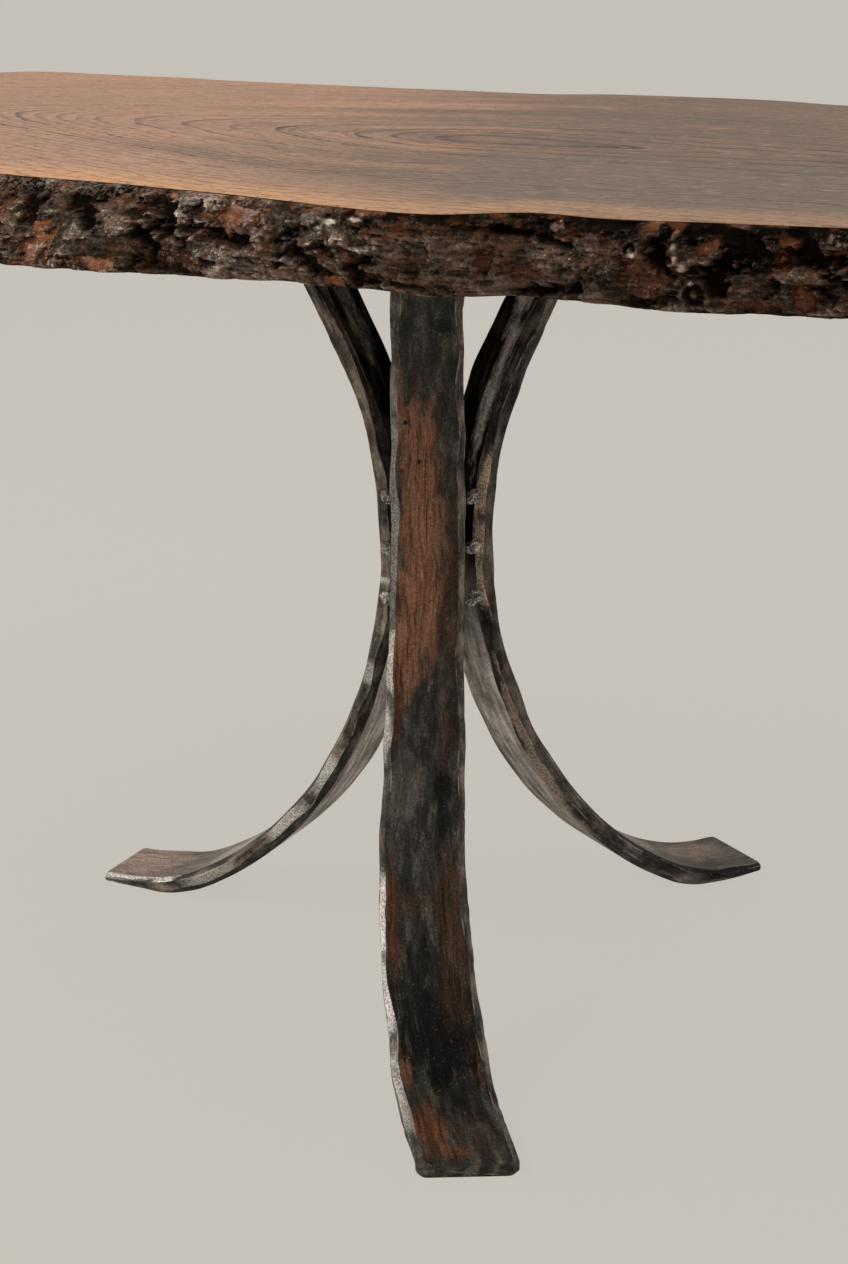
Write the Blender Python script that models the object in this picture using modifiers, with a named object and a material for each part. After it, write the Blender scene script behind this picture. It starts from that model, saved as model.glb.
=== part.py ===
"""Live edge dining table: a walnut slab with its bark on, standing on a tripod of three forged steel bars.

Each bar is bent like one side of an hourglass: a foot flat on the floor, a waist where the three bars
stand close together and are joined by weld nuggets, and a pad that turns out flat under the slab. Two
bolts through slots in each pad hold the slab, in threaded inserts let into its underside.

Metres, +Z up. The slab's length runs along X. The origin is on the floor, under the middle of the table.
"""

import math

import bmesh
import bpy
from mathutils import Matrix, Vector, noise

# Slab
TABLE_HEIGHT = 0.762
SLAB_LENGTH = 1.83
SLAB_WIDTH = 0.88
SLAB_THICKNESS = 0.052
SLAB_OFFSET = 0.060          # the slab's middle line lies this far behind the tripod's axis
CORNER_RADIUS = 0.055        # of the sawn ends' corners, seen from above
EDGE_SOFTENING = 0.003       # rounding of the slab's top and bottom arrises
EDGE_SWELL = 0.004           # how far the natural edge bulges halfway down
EDGE_WOBBLE = 0.004          # small waves along the natural edge
EDGE_WAVE = 0.09             # about the length of one

# Bark
BARK_THICKNESS = 0.013
BARK_RELIEF = 0.009          # depth of its lumps and hollows
BARK_LUMP = (0.075, 0.040)   # size of a lump, along and down the edge
BARK_PLATE = (0.030, 0.022)  # and of the plates between its fissures
BARK_LEAST = 0.004
BARK_END_MARGIN = 0.035      # bare wood between the bark and the sawn end's corner

# Forged bars
BAR_THICKNESS = 0.019
TOE_DRAWN_LENGTH = 0.11      # over this length the toe is drawn out thinner than the bar
EDGE_BEVEL = 0.0055          # hammered bevel along the outer face
BEVEL_SLOPE = 0.55           # its depth for its width
INNER_BEVEL = 0.0065         # and along the inner face
BEVEL_WANDER = 0.8           # share by which their widths come and go
HAMMER_DEPTH = 0.0022        # waviness that the hammer leaves in the edges
HAMMER_PITCH = 0.045         # about the length of one hammer mark

# The bars' bends, as seen from the side
WAIST_HEIGHT = 0.405
WAIST_RADIUS = 0.0328        # from the tripod's axis to the middle of the bar
TOE_BEND_RADIUS = 0.119
FOOT_SLOPE = math.radians(61)     # lean of the bar where the toe bend starts
PAD_LENGTH = 0.088           # flat under the slab
PAD_BEND_RADIUS = 0.050
TOP_STRAIGHT = 0.109         # straight stretch below the pad's bend
TOP_SLOPE = math.radians(30.5)      # lean of that stretch

# Fasteners
BOLT_DIAMETER = 0.010
BOLT_HEAD_ACROSS = 0.017
BOLT_HEAD_HEIGHT = 0.0064
BOLT_SPACING = 0.044         # between a pad's two bolts
SLOT_TRAVEL = 0.004          # lets the slab swell and shrink across its grain, each way
WASHER_DIAMETER = 0.024
WASHER_THICKNESS = 0.002
INSERT_DIAMETER = 0.016
INSERT_LENGTH = 0.025
INSERT_CHAMFER = 0.0008
BOLT_REACH = 0.020           # length of thread in the insert

# Weld nuggets at the waist
WELD_BITE = 0.008            # how far a nugget runs on over the bars, beyond the gap that it bridges
WELD_DEPTH = 0.013           # from its back to its front
WELD_HEIGHT = 0.019
WELD_SEAT = 0.003            # its middle lies this far out from the bars' inner corners
WELD_PITCH = 0.047           # from one nugget to the next up the groove
WELD_RISE = 0.003            # the middle one lies this far above the waist
WELD_LABELS = ("lower", "middle", "upper")

CLEARANCE = 0.0003           # between pieces that touch

# Sampling of the lofts
SECTION_STEP = 0.0135        # along a bar
OUTLINE_STEP = 0.029         # along the slab's edges
EDGE_ROWS = 4                # down the slab's edges
CORNER_STEPS = 5
ROUND_SIDES = 20

# Natural edges of the slab: place along it and bulge beyond the nominal width
FRONT_EDGE = (
    (-0.915, 0.005), (-0.695, -0.008), (-0.458, -0.030), (-0.275, -0.034), (-0.128, -0.023), (0.027, 0.000),
    (0.156, 0.032), (0.224, 0.039), (0.275, 0.008), (0.329, 0.011), (0.467, -0.008), (0.659, -0.018),
    (0.915, -0.045),
)
REAR_EDGE = (
    (-0.915, 0.045), (-0.860, 0.068), (-0.769, 0.053), (-0.613, 0.034), (-0.540, 0.013), (-0.366, -0.008),
    (-0.110, -0.034), (-0.046, -0.016), (0.046, -0.017), (0.146, -0.032), (0.220, -0.060), (0.366, -0.066),
    (0.641, -0.080), (0.915, -0.105),
)

# How far the natural edges lean out at the underside, at places along the slab
FRONT_LEAN = (
    (-0.915, 0.035), (-0.300, 0.060), (-0.108, 0.062), (-0.040, 0.052), (0.020, 0.032), (0.060, 0.021),
    (0.100, 0.004), (0.150, -0.008), (0.210, -0.012), (0.260, -0.004), (0.320, -0.005), (0.380, 0.007),
    (0.440, 0.002), (0.915, 0.008),
)
REAR_LEAN = ((-0.915, 0.018), (-0.183, 0.026), (0.366, 0.014), (0.915, 0.020))

# Each bar as forged by hand: direction in degrees, noise seed, length of the foot that lies on the floor,
# thickness of the drawn-out toe, and widths and sideways sways at distances below the waist
LEGS = {
    "front_leg": {
        "direction": -60.0, "seed": 3.0, "foot": 0.069, "toe": 0.0128,
        "widths": ((-0.434, 0.056), (0.0, 0.066), (0.207, 0.075), (0.326, 0.079), (0.474, 0.0825), (0.593, 0.081)),
        "sways": ((-0.434, -0.0100), (0.0, -0.0085), (0.207, -0.0150), (0.326, -0.0175), (0.474, -0.0065),
                  (0.593, 0.0105)),
    },
    "right_leg": {
        "direction": 60.0, "seed": 11.0, "foot": 0.054, "toe": 0.008,
        "widths": ((-0.434, 0.056), (0.0, 0.066), (0.202, 0.078), (0.318, 0.088), (0.462, 0.0895), (0.578, 0.086)),
        "sways": ((-0.434, 0.0), (0.0, 0.0), (0.202, -0.0030), (0.318, -0.0030), (0.462, 0.0), (0.578, -0.0030)),
    },
    "left_leg": {
        "direction": 180.0, "seed": 23.0, "foot": 0.060, "toe": 0.008,
        "widths": ((-0.434, 0.056), (0.0, 0.066), (0.204, 0.080), (0.321, 0.084), (0.467, 0.079), (0.584, 0.076)),
        "sways": ((-0.434, -0.0180), (0.0, 0.0), (0.204, -0.0030), (0.321, -0.0085), (0.467, -0.0030),
                  (0.584, 0.0030)),
    },
}
SEAMS = (("front", "right"), ("right", "left"), ("left", "front"))

UNDERSIDE = TABLE_HEIGHT - SLAB_THICKNESS
HALF_LENGTH = SLAB_LENGTH / 2
PAD_TOP = UNDERSIDE - CLEARANCE


def clear_scene():
    for obj in list(bpy.data.objects):
        bpy.data.objects.remove(obj)


def make_material(name, colour, roughness, metallic):
    material = bpy.data.materials.new(name)
    material.use_nodes = True
    shader = material.node_tree.nodes["Principled BSDF"]
    shader.inputs["Base Color"].default_value = (*colour, 1.0)
    shader.inputs["Roughness"].default_value = roughness
    shader.inputs["Metallic"].default_value = metallic
    return material


def add_object(name, bm, collection, material=None, smooth_angle=35):
    """A new object from a bmesh, which is freed."""
    bmesh.ops.recalc_face_normals(bm, faces=bm.faces)
    mesh = bpy.data.meshes.new(name)
    bm.to_mesh(mesh)
    bm.free()
    mesh.shade_smooth()
    mesh.set_sharp_from_angle(angle=math.radians(smooth_angle))
    obj = bpy.data.objects.new(name, mesh)
    collection.objects.link(obj)
    if material:
        mesh.materials.append(material)
    return obj


def add_cutter(name, bm, collection):
    obj = add_object(name, bm, collection)
    obj.hide_render = True
    obj.display_type = "WIRE"
    return obj


def cut(obj, cutter, operation="DIFFERENCE"):
    modifier = obj.modifiers.new(f"{operation.lower()}_{cutter.name}", "BOOLEAN")
    modifier.operation = operation
    modifier.object = cutter
    modifier.solver = "EXACT"


def loft(sections):
    """A closed skin through the sections, which are loops of equally many points, with both ends capped."""
    bm = bmesh.new()
    loops = [[bm.verts.new(point) for point in section] for section in sections]
    count = len(loops[0])
    for lower, upper in zip(loops, loops[1:]):
        for i in range(count):
            j = (i + 1) % count
            bm.faces.new((lower[i], lower[j], upper[j], upper[i]))
    bm.faces.new(loops[0])
    bm.faces.new(loops[-1])
    return bm


def smooth_through(points, t):
    """Value at t of a smooth curve through points of (place, value)."""
    last = len(points) - 1
    i = next((k for k in range(last) if t <= points[k + 1][0]), last - 1)
    (t0, v0), (t1, v1) = points[i], points[i + 1]

    def slope(k):
        a, b = points[max(k - 1, 0)], points[min(k + 1, last)]
        return (b[1] - a[1]) / (b[0] - a[0])

    width = t1 - t0
    u = min(max((t - t0) / width, 0.0), 1.0)
    rise = (2 * u**3 - 3 * u**2 + 1) * v0 + (3 * u**2 - 2 * u**3) * v1
    return rise + width * ((u**3 - 2 * u**2 + u) * slope(i) + (u**3 - u**2) * slope(i + 1))


def smooth_step(low, high, value):
    u = min(max((value - low) / (high - low), 0.0), 1.0)
    return u * u * (3 - 2 * u)


def ripple(place, seed, pitch):
    """Smooth noise along a length, from about -1 to 1."""
    return noise.noise(Vector((place / pitch, seed, 0.37 * seed)))


# Slab and bark

def edge_y(x, rear):
    """Where the slab's natural edge runs at x, at its top arris."""
    bulge = smooth_through(REAR_EDGE if rear else FRONT_EDGE, x)
    wobble = EDGE_WOBBLE * ripple(x, 5.0 if rear else 2.0, EDGE_WAVE)
    reach = SLAB_WIDTH / 2 + bulge + wobble
    return SLAB_OFFSET + (reach if rear else -reach)


def edge_lean(x, depth, rear):
    """How far the natural edge lies outside its top arris, at this depth below the top."""
    share = depth / SLAB_THICKNESS
    lean = smooth_through(REAR_LEAN if rear else FRONT_LEAN, x)
    return lean * share + EDGE_SWELL * math.sin(math.pi * share)


def outline_places():
    """Stations along the natural edges, which the slab and its bark share."""
    straight = HALF_LENGTH - CORNER_RADIUS
    steps = max(8, round(2 * straight / OUTLINE_STEP))
    return [straight * (2 * i / steps - 1) for i in range(steps + 1)]


def edge_depths(rows):
    """Depths down the natural edge between its softened arrises."""
    low, high = EDGE_SOFTENING, SLAB_THICKNESS - EDGE_SOFTENING
    return [low + (high - low) * k / rows for k in range(rows + 1)]


def slab_outline(depth, inset):
    """The slab's outline at this depth below its top, drawn in by inset, anticlockwise seen from above."""
    straight = HALF_LENGTH - CORNER_RADIUS
    places = outline_places()
    corner = [math.pi / 2 * k / CORNER_STEPS for k in range(1, CORNER_STEPS + 1)]
    radius = CORNER_RADIUS - inset

    def side(x, rear):
        lean = edge_lean(x, depth, rear) - inset
        return edge_y(x, rear) + (lean if rear else -lean)

    outline = [(x, side(x, False)) for x in places]
    front, rear = side(straight, False), side(straight, True)
    outline += [(straight + radius * math.sin(a), front + radius * (1 - math.cos(a))) for a in corner]
    outline += [(straight + radius * math.cos(a), rear - radius * (1 - math.sin(a)))
                for a in [0.0] + corner[:-1]]
    outline += [(x, side(x, True)) for x in reversed(places)]
    front, rear = side(-straight, False), side(-straight, True)
    outline += [(-straight - radius * math.sin(a), rear - radius * (1 - math.cos(a))) for a in corner]
    outline += [(-straight - radius * math.cos(a), front + radius * (1 - math.sin(a)))
                for a in [0.0] + corner[:-1]]
    return outline


def make_slab(collection, material):
    levels = [(0.0, EDGE_SOFTENING)]
    levels += [(depth, 0.0) for depth in edge_depths(EDGE_ROWS)]
    levels += [(SLAB_THICKNESS, EDGE_SOFTENING)]
    sections = [
        [(x, y, TABLE_HEIGHT - depth) for x, y in slab_outline(depth, inset)] for depth, inset in levels
    ]
    return add_object("slab_top", loft(sections), collection, material)


def bark_depth(x, depth, rear):
    """Thickness of the bark at x and this depth: plates, hollows and the odd burl."""
    seed = 41.0 if rear else 17.0
    lumps = noise.noise(Vector((x / BARK_LUMP[0], depth / BARK_LUMP[1], seed)))
    plates = noise.noise(Vector((x / BARK_PLATE[0], depth / BARK_PLATE[1], seed + 5.0)))
    thickness = BARK_THICKNESS + BARK_RELIEF * (0.75 * lumps + 0.45 * plates)
    rounding = math.sin(math.pi * depth / SLAB_THICKNESS)
    return max(BARK_LEAST, thickness * (0.55 + 0.45 * rounding))


def make_bark(name, rear, collection, material):
    """A strip lofted along the edge, its sections running down the outer side and back up beside the wood."""
    reach = HALF_LENGTH - CORNER_RADIUS - BARK_END_MARGIN
    way = 1 if rear else -1
    sections = []
    for x in outline_places():
        if abs(x) > reach:
            continue

        def beside_wood(depth):
            return edge_y(x, rear) + way * (edge_lean(x, depth, rear) + CLEARANCE)

        taper = way * (0.25 + 0.75 * smooth_step(0.0, 2 * BARK_END_MARGIN, reach - abs(x)))
        section = [
            (x, beside_wood(depth) + taper * bark_depth(x, depth, rear), TABLE_HEIGHT - depth)
            for depth in edge_depths(EDGE_ROWS + 2)
        ]
        section += [(x, beside_wood(depth), TABLE_HEIGHT - depth) for depth in edge_depths(EDGE_ROWS)[::-1]]
        # The slab's outline runs along +X in front and -X behind, and its facets split accordingly
        sections.append(section if rear else section[::-1])
    return add_object(name, loft(sections), collection, material, 50)


# Forged bars

def bend(start, end, turn_radius):
    return abs(end - start) * turn_radius, start, end


def walk(stretches, step):
    """Places along stretches of (length, lean at its start, lean at its end): distance, out, along, lean."""
    places = [(0.0, 0.0, 0.0, stretches[0][1])]
    base, out, along = 0.0, 0.0, 0.0
    for length, start, end in stretches:
        count = max(1, round(length / step))
        for k in range(1, count + 1):
            lean = start + (end - start) * k / count
            run = length * k / count
            if end == start:
                ahead, sideways = run * math.cos(start), run * math.sin(start)
            else:
                radius = length / (end - start)
                ahead = radius * (math.sin(lean) - math.sin(start))
                sideways = radius * (math.cos(start) - math.cos(lean))
            places.append((base + run, out + sideways, along + ahead, lean))
        base, out, along = places[-1][0], places[-1][1], places[-1][2]
    return places


def bar_stretches(leg):
    """The bar's bends from the waist up to the pad's end, and from the waist down to the toe."""
    flat = math.pi / 2
    rise = PAD_TOP - BAR_THICKNESS / 2 - WAIST_HEIGHT
    rise -= TOP_STRAIGHT * math.cos(TOP_SLOPE) + PAD_BEND_RADIUS * (1 - math.sin(TOP_SLOPE))
    drop = WAIST_HEIGHT - BAR_THICKNESS / 2 - TOE_BEND_RADIUS * (1 - math.sin(FOOT_SLOPE))
    upper = [
        bend(0.0, TOP_SLOPE, rise / math.sin(TOP_SLOPE)),
        (TOP_STRAIGHT, TOP_SLOPE, TOP_SLOPE),
        bend(TOP_SLOPE, flat, PAD_BEND_RADIUS),
        (PAD_LENGTH, flat, flat),
    ]
    lower = [
        bend(0.0, FOOT_SLOPE, drop / math.sin(FOOT_SLOPE)),
        bend(FOOT_SLOPE, flat, TOE_BEND_RADIUS),
        (leg["foot"], flat, flat),
    ]
    return upper, lower


def bar_places(leg):
    """Places from the pad's end to the toe: distance below the waist, radius, height, and the face's normal.

    The normal is given outward and upward.
    """
    upper, lower = bar_stretches(leg)
    places = [
        (-s, WAIST_RADIUS + out, WAIST_HEIGHT + along, math.cos(lean), -math.sin(lean))
        for s, out, along, lean in reversed(walk(upper, SECTION_STEP))
    ]
    places += [
        (s, WAIST_RADIUS + out, WAIST_HEIGHT - along, math.cos(lean), math.sin(lean))
        for s, out, along, lean in walk(lower, SECTION_STEP)[1:]
    ]
    return places


def leg_axes(leg):
    """Plan directions of a bar: outward from the tripod's axis, and across to its left."""
    angle = math.radians(leg["direction"])
    return Vector((math.cos(angle), math.sin(angle))), Vector((-math.sin(angle), math.cos(angle)))


def bar_section(leg, along, drawn, grow):
    """Corners of the bar's section as (across, outward): a flat bar with hammered bevels along its edges."""
    pitch, seed = HAMMER_PITCH, leg["seed"]
    half = smooth_through(leg["widths"], along) / 2 + grow
    left = half + HAMMER_DEPTH * ripple(along, seed, pitch)
    right = half + HAMMER_DEPTH * ripple(along, seed + 31.0, pitch)
    bevel_left = EDGE_BEVEL * (1 + BEVEL_WANDER * ripple(along, seed + 57.0, 1.3 * pitch))
    bevel_right = EDGE_BEVEL * (1 + BEVEL_WANDER * ripple(along, seed + 83.0, 1.3 * pitch))
    thickness = BAR_THICKNESS - drawn * (BAR_THICKNESS - leg["toe"])
    inner = INNER_BEVEL * (thickness / BAR_THICKNESS)**2
    inner_left = inner * (1 + BEVEL_WANDER * ripple(along, seed + 97.0, pitch))
    inner_right = inner * (1 + BEVEL_WANDER * ripple(along, seed + 113.0, pitch))
    back = -BAR_THICKNESS / 2 - grow
    face = back + thickness + 2 * grow
    return (
        (-left, back + inner_left), (-left + inner_left, back),
        (right - inner_right, back), (right, back + inner_right),
        (right, face - BEVEL_SLOPE * bevel_right), (right - bevel_right, face),
        (-left + bevel_left, face), (-left, face - BEVEL_SLOPE * bevel_left),
    )


def leg_sections(name, grow=0.0):
    leg = LEGS[name]
    outward, across = [axis.to_3d() for axis in leg_axes(leg)]
    up = Vector((0.0, 0.0, 1.0))
    places = bar_places(leg)
    toe = places[-1][0]
    sections = []
    for along, radius, height, normal_out, normal_up in places:
        drawn = smooth_step(toe - TOE_DRAWN_LENGTH, toe, along)
        normal = outward * normal_out + up * normal_up
        centre = outward * radius + up * height + across * smooth_through(leg["sways"], along)
        sections.append([centre + across * a + normal * b for a, b in bar_section(leg, along, drawn, grow)])
    return sections


def pad_bolt_places(name):
    """Plan positions of a pad's two bolts."""
    leg = LEGS[name]
    outward, across = leg_axes(leg)
    start, end = bar_places(leg)[0][:2]
    middle = end - PAD_LENGTH / 2
    radii = [middle + k * BOLT_SPACING / 2 for k in (-1, 1)]
    return [outward * radius + across * smooth_through(leg["sways"], start + end - radius) for radius in radii]


# Round pieces

def cylinder(radius, low, high, sides=ROUND_SIDES):
    bm = bmesh.new()
    placed = Matrix.Translation((0.0, 0.0, (low + high) / 2))
    bmesh.ops.create_cone(bm, cap_ends=True, segments=sides, radius1=radius, radius2=radius,
                          depth=high - low, matrix=placed)
    return bm


def turned(name, profile, collection, material):
    """A ring or tube: a closed profile of (radius, height) swept round Z by a Screw modifier."""
    bm = bmesh.new()
    verts = [bm.verts.new((radius, 0.0, height)) for radius, height in profile]
    for a, b in zip(verts, verts[1:] + verts[:1]):
        bm.edges.new((a, b))
    obj = add_object(name, bm, collection, material)
    screw = obj.modifiers.new("turn", "SCREW")
    screw.steps = screw.render_steps = ROUND_SIDES
    screw.use_merge_vertices = True
    screw.merge_threshold = 0.00005
    screw.use_smooth_shade = True
    return obj


def make_washer(name, collection, material):
    inner, outer = BOLT_DIAMETER / 2 + CLEARANCE, WASHER_DIAMETER / 2
    top = PAD_TOP - BAR_THICKNESS - CLEARANCE
    bottom = top - WASHER_THICKNESS
    return turned(name, ((outer, top), (outer, bottom), (inner, bottom), (inner, top)), collection, material)


def make_insert(name, collection, material):
    """A threaded insert: a tube with its far end chamfered."""
    inner, outer = BOLT_DIAMETER / 2 + CLEARANCE, INSERT_DIAMETER / 2
    top = UNDERSIDE + INSERT_LENGTH
    profile = (
        (outer - INSERT_CHAMFER, top), (outer, top - INSERT_CHAMFER), (outer, UNDERSIDE), (inner, UNDERSIDE),
        (inner, top),
    )
    return turned(name, profile, collection, material)


def make_bolt(name, collection, cutters, material):
    """A hexagon head below the washer, with a shank up into the insert."""
    head_top = PAD_TOP - BAR_THICKNESS - 2 * CLEARANCE - WASHER_THICKNESS
    head = cylinder(BOLT_HEAD_ACROSS / math.sqrt(3), head_top - BOLT_HEAD_HEIGHT, head_top, 6)
    shank = cylinder(BOLT_DIAMETER / 2, head_top - BOLT_HEAD_HEIGHT / 2, UNDERSIDE + BOLT_REACH)
    obj = add_object(name, head, collection, material, 30)
    cut(obj, add_cutter(f"{name}_shank", shank, cutters), "UNION")
    return obj


def slot_cutter(name, collection):
    """A slot through a pad, long across the slab's grain."""
    bm = cylinder(BOLT_DIAMETER / 2 + 2 * CLEARANCE, PAD_TOP - 2 * BAR_THICKNESS, PAD_TOP + BAR_THICKNESS)
    for vert in bm.verts:
        vert.co.y += math.copysign(SLOT_TRAVEL, vert.co.y)
    return add_cutter(name, bm, collection)


# Weld nuggets

def bar_radius(leg, height):
    """From the tripod's axis to the middle of a bar at this height, near the waist."""
    upper, lower = bar_stretches(leg)
    length, start, end = upper[0] if height > WAIST_HEIGHT else lower[0]
    turn_radius = length / (end - start)
    return WAIST_RADIUS + turn_radius - math.sqrt(turn_radius**2 - (height - WAIST_HEIGHT)**2)


def inner_corner(name, side, height):
    """Plan position of a bar's inner corner at this height, on its left side (1) or right side (-1)."""
    leg = LEGS[f"{name}_leg"]
    outward, across = leg_axes(leg)
    along = WAIST_HEIGHT - height
    reach = smooth_through(leg["sways"], along) + side * smooth_through(leg["widths"], along) / 2
    return outward * (bar_radius(leg, height) - BAR_THICKNESS / 2) + across * reach


def make_weld(name, near, far, height, seed, collection, material):
    """A lumpy bead of weld metal across the gap between two bars' inner corners."""
    gap = far - near
    outward = Vector((gap.y, -gap.x)).normalized()
    size = Vector((gap.length / 2 + WELD_BITE, WELD_DEPTH / 2, WELD_HEIGHT / 2))
    bm = bmesh.new()
    bmesh.ops.create_uvsphere(bm, u_segments=14, v_segments=9, radius=1.0)
    for vert in bm.verts:
        vert.co *= 1 + 0.16 * noise.noise(1.4 * vert.co + Vector((seed, 0.0, 0.0)))
        vert.co *= size
    obj = add_object(name, bm, collection, material, 60)
    middle = (near + far) / 2 + WELD_SEAT * outward
    obj.location = (middle.x, middle.y, height)
    obj.rotation_euler.z = math.atan2(gap.y, gap.x)
    return obj


# Assembly

def make_legs(parts, steel):
    return {name: add_object(name, loft(leg_sections(name)), parts, steel) for name in LEGS}


def make_fixings(legs, slab, parts, cutters, zinc, brass):
    """Bolt, washer and insert at each place, with the slot in the pad and the hole in the slab."""
    for name, leg in legs.items():
        for place, end in zip(pad_bolt_places(name), ("inner", "outer")):
            label = f"{name.removesuffix('_leg')}_{end}"
            hole = cylinder(INSERT_DIAMETER / 2 + CLEARANCE, UNDERSIDE - INSERT_LENGTH,
                            UNDERSIDE + INSERT_LENGTH + CLEARANCE)
            drilled = add_cutter(f"{label}_hole", hole, cutters)
            slot = slot_cutter(f"{label}_slot", cutters)
            pieces = [
                make_bolt(f"{label}_bolt", parts, cutters, zinc),
                make_washer(f"{label}_washer", parts, zinc),
                make_insert(f"{label}_insert", parts, brass),
                drilled, slot, bpy.data.objects[f"{label}_bolt_shank"],
            ]
            for piece in pieces:
                piece.location = (place.x, place.y, 0.0)
            cut(slab, drilled)
            cut(leg, slot)


def make_welds(parts, cutters, weld_metal):
    """Nuggets up each groove at the waist, cut to seat against the two bars beside them."""
    grown = {
        name: add_cutter(f"{name}_seat", loft(leg_sections(name, CLEARANCE)), cutters) for name in LEGS
    }
    for first, second in SEAMS:
        for k, label in enumerate(WELD_LABELS):
            height = WAIST_HEIGHT + WELD_RISE + (k - 1) * WELD_PITCH
            near, far = inner_corner(first, 1, height), inner_corner(second, -1, height)
            seed = 7.0 * k + LEGS[f"{first}_leg"]["seed"]
            weld = make_weld(f"{first}_{second}_weld_{label}", near, far, height, seed, parts, weld_metal)
            for leg in (first, second):
                cut(weld, grown[f"{leg}_leg"])


def centre_on_origin(collection):
    """Hangs the parts on one empty, set so that the table's box stands over the origin."""
    bpy.context.view_layer.update()
    graph = bpy.context.evaluated_depsgraph_get()
    corners = []
    for obj in collection.objects:
        shown = obj.evaluated_get(graph)
        corners += [shown.matrix_world @ Vector(corner) for corner in shown.bound_box]
    middle = [(min(c[i] for c in corners) + max(c[i] for c in corners)) / 2 for i in range(2)]
    frame = bpy.data.objects.new("table_frame", None)
    frame.location = (-middle[0], -middle[1], 0.0)
    bpy.context.scene.collection.objects.link(frame)
    return frame


def main():
    clear_scene()
    parts = bpy.data.collections.new("live_edge_table")
    cutters = bpy.data.collections.new("cutters")
    for collection in (parts, cutters):
        bpy.context.scene.collection.children.link(collection)

    walnut = make_material("oiled_walnut", (0.24, 0.135, 0.075), 0.45, 0.0)
    bark = make_material("walnut_bark", (0.055, 0.035, 0.025), 0.6, 0.0)
    steel = make_material("forged_steel", (0.09, 0.075, 0.065), 0.45, 0.9)
    weld_metal = make_material("weld_metal", (0.28, 0.25, 0.22), 0.4, 1.0)
    zinc = make_material("zinc_plated_steel", (0.5, 0.5, 0.5), 0.35, 1.0)
    brass = make_material("brass", (0.55, 0.42, 0.18), 0.35, 1.0)

    slab = make_slab(parts, walnut)
    make_bark("front_bark", False, parts, bark)
    make_bark("rear_bark", True, parts, bark)
    legs = make_legs(parts, steel)
    make_fixings(legs, slab, parts, cutters, zinc, brass)
    make_welds(parts, cutters, weld_metal)

    frame = centre_on_origin(parts)
    for obj in list(parts.objects) + list(cutters.objects):
        obj.parent = frame


main()
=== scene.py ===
"""Looks of the live edge dining table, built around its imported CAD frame.

The walnut slab, its bark, the three forged bars, the weld nuggets and the bolts are modelled again as dense
meshes along the CAD's own curves. Washers and threaded inserts keep their CAD shapes. Metres, +Z up.
"""

import math
from collections import namedtuple

import bmesh
import bpy
from mathutils import Matrix, Vector, noise


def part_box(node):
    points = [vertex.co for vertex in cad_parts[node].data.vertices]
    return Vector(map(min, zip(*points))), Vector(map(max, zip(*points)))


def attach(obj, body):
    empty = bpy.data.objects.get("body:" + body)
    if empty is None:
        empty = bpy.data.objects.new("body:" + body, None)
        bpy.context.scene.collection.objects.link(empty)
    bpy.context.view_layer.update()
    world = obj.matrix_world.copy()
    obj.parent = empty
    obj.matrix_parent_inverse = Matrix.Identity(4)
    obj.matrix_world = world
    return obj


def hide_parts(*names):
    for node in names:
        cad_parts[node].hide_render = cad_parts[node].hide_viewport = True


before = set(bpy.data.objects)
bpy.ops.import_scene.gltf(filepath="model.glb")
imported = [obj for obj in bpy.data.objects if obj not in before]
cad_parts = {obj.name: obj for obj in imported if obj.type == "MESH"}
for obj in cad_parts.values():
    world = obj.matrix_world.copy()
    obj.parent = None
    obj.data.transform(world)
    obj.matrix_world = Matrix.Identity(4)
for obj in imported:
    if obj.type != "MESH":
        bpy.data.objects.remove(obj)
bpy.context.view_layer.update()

# Slab, from the frame and as the CAD draws its natural edges
SLAB_LOW, SLAB_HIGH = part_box("slab_top")
TABLE_HEIGHT = SLAB_HIGH.z
UNDERSIDE = SLAB_LOW.z
SLAB_THICKNESS = TABLE_HEIGHT - UNDERSIDE
HALF_LENGTH = SLAB_HIGH.x
SLAB_WIDTH = 0.88
SLAB_OFFSET = 0.060
CORNER_RADIUS = 0.055
EDGE_SOFTENING = 0.003
EDGE_SWELL = 0.004
EDGE_WOBBLE = 0.004
EDGE_WAVE = 0.09
WOBBLE_SEEDS = (2.0, 5.0)    # front and rear
EDGE_RAGGED = 0.0008         # small nicks along the natural edge, which the CAD leaves out
RAGGED_WAVE = 0.011
RAGGED_SEEDS = (6.0, 8.0)
FRONT_EDGE = (
    (-0.915, 0.005), (-0.695, -0.008), (-0.458, -0.030), (-0.275, -0.034), (-0.128, -0.023), (0.027, 0.000),
    (0.156, 0.032), (0.224, 0.039), (0.275, 0.008), (0.329, 0.011), (0.467, -0.008), (0.659, -0.018),
    (0.915, -0.045),
)
REAR_EDGE = (
    (-0.915, 0.045), (-0.860, 0.068), (-0.769, 0.053), (-0.613, 0.034), (-0.540, 0.013), (-0.366, -0.008),
    (-0.110, -0.034), (-0.046, -0.016), (0.046, -0.017), (0.146, -0.032), (0.220, -0.060), (0.366, -0.066),
    (0.641, -0.080), (0.915, -0.105),
)
FRONT_LEAN = (
    (-0.915, 0.035), (-0.300, 0.060), (-0.108, 0.062), (-0.040, 0.052), (0.020, 0.032), (0.060, 0.021),
    (0.100, 0.004), (0.150, -0.008), (0.210, -0.012), (0.260, -0.004), (0.320, -0.005), (0.380, 0.007),
    (0.440, 0.002), (0.915, 0.008),
)
REAR_LEAN = ((-0.915, 0.018), (-0.183, 0.026), (0.366, 0.014), (0.915, 0.020))
SLAB_STEP = 0.006            # along the natural edges
CAP_ROWS = (0.015, 0.030, 0.050, 0.080, 0.130, 0.200)    # in from each natural edge, over the slab's faces
ARRIS_STEPS = 4              # round each softened arris
SIDE_ROWS = 6                # down the edge between them
CORNER_STEPS = 8             # round each corner

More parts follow.
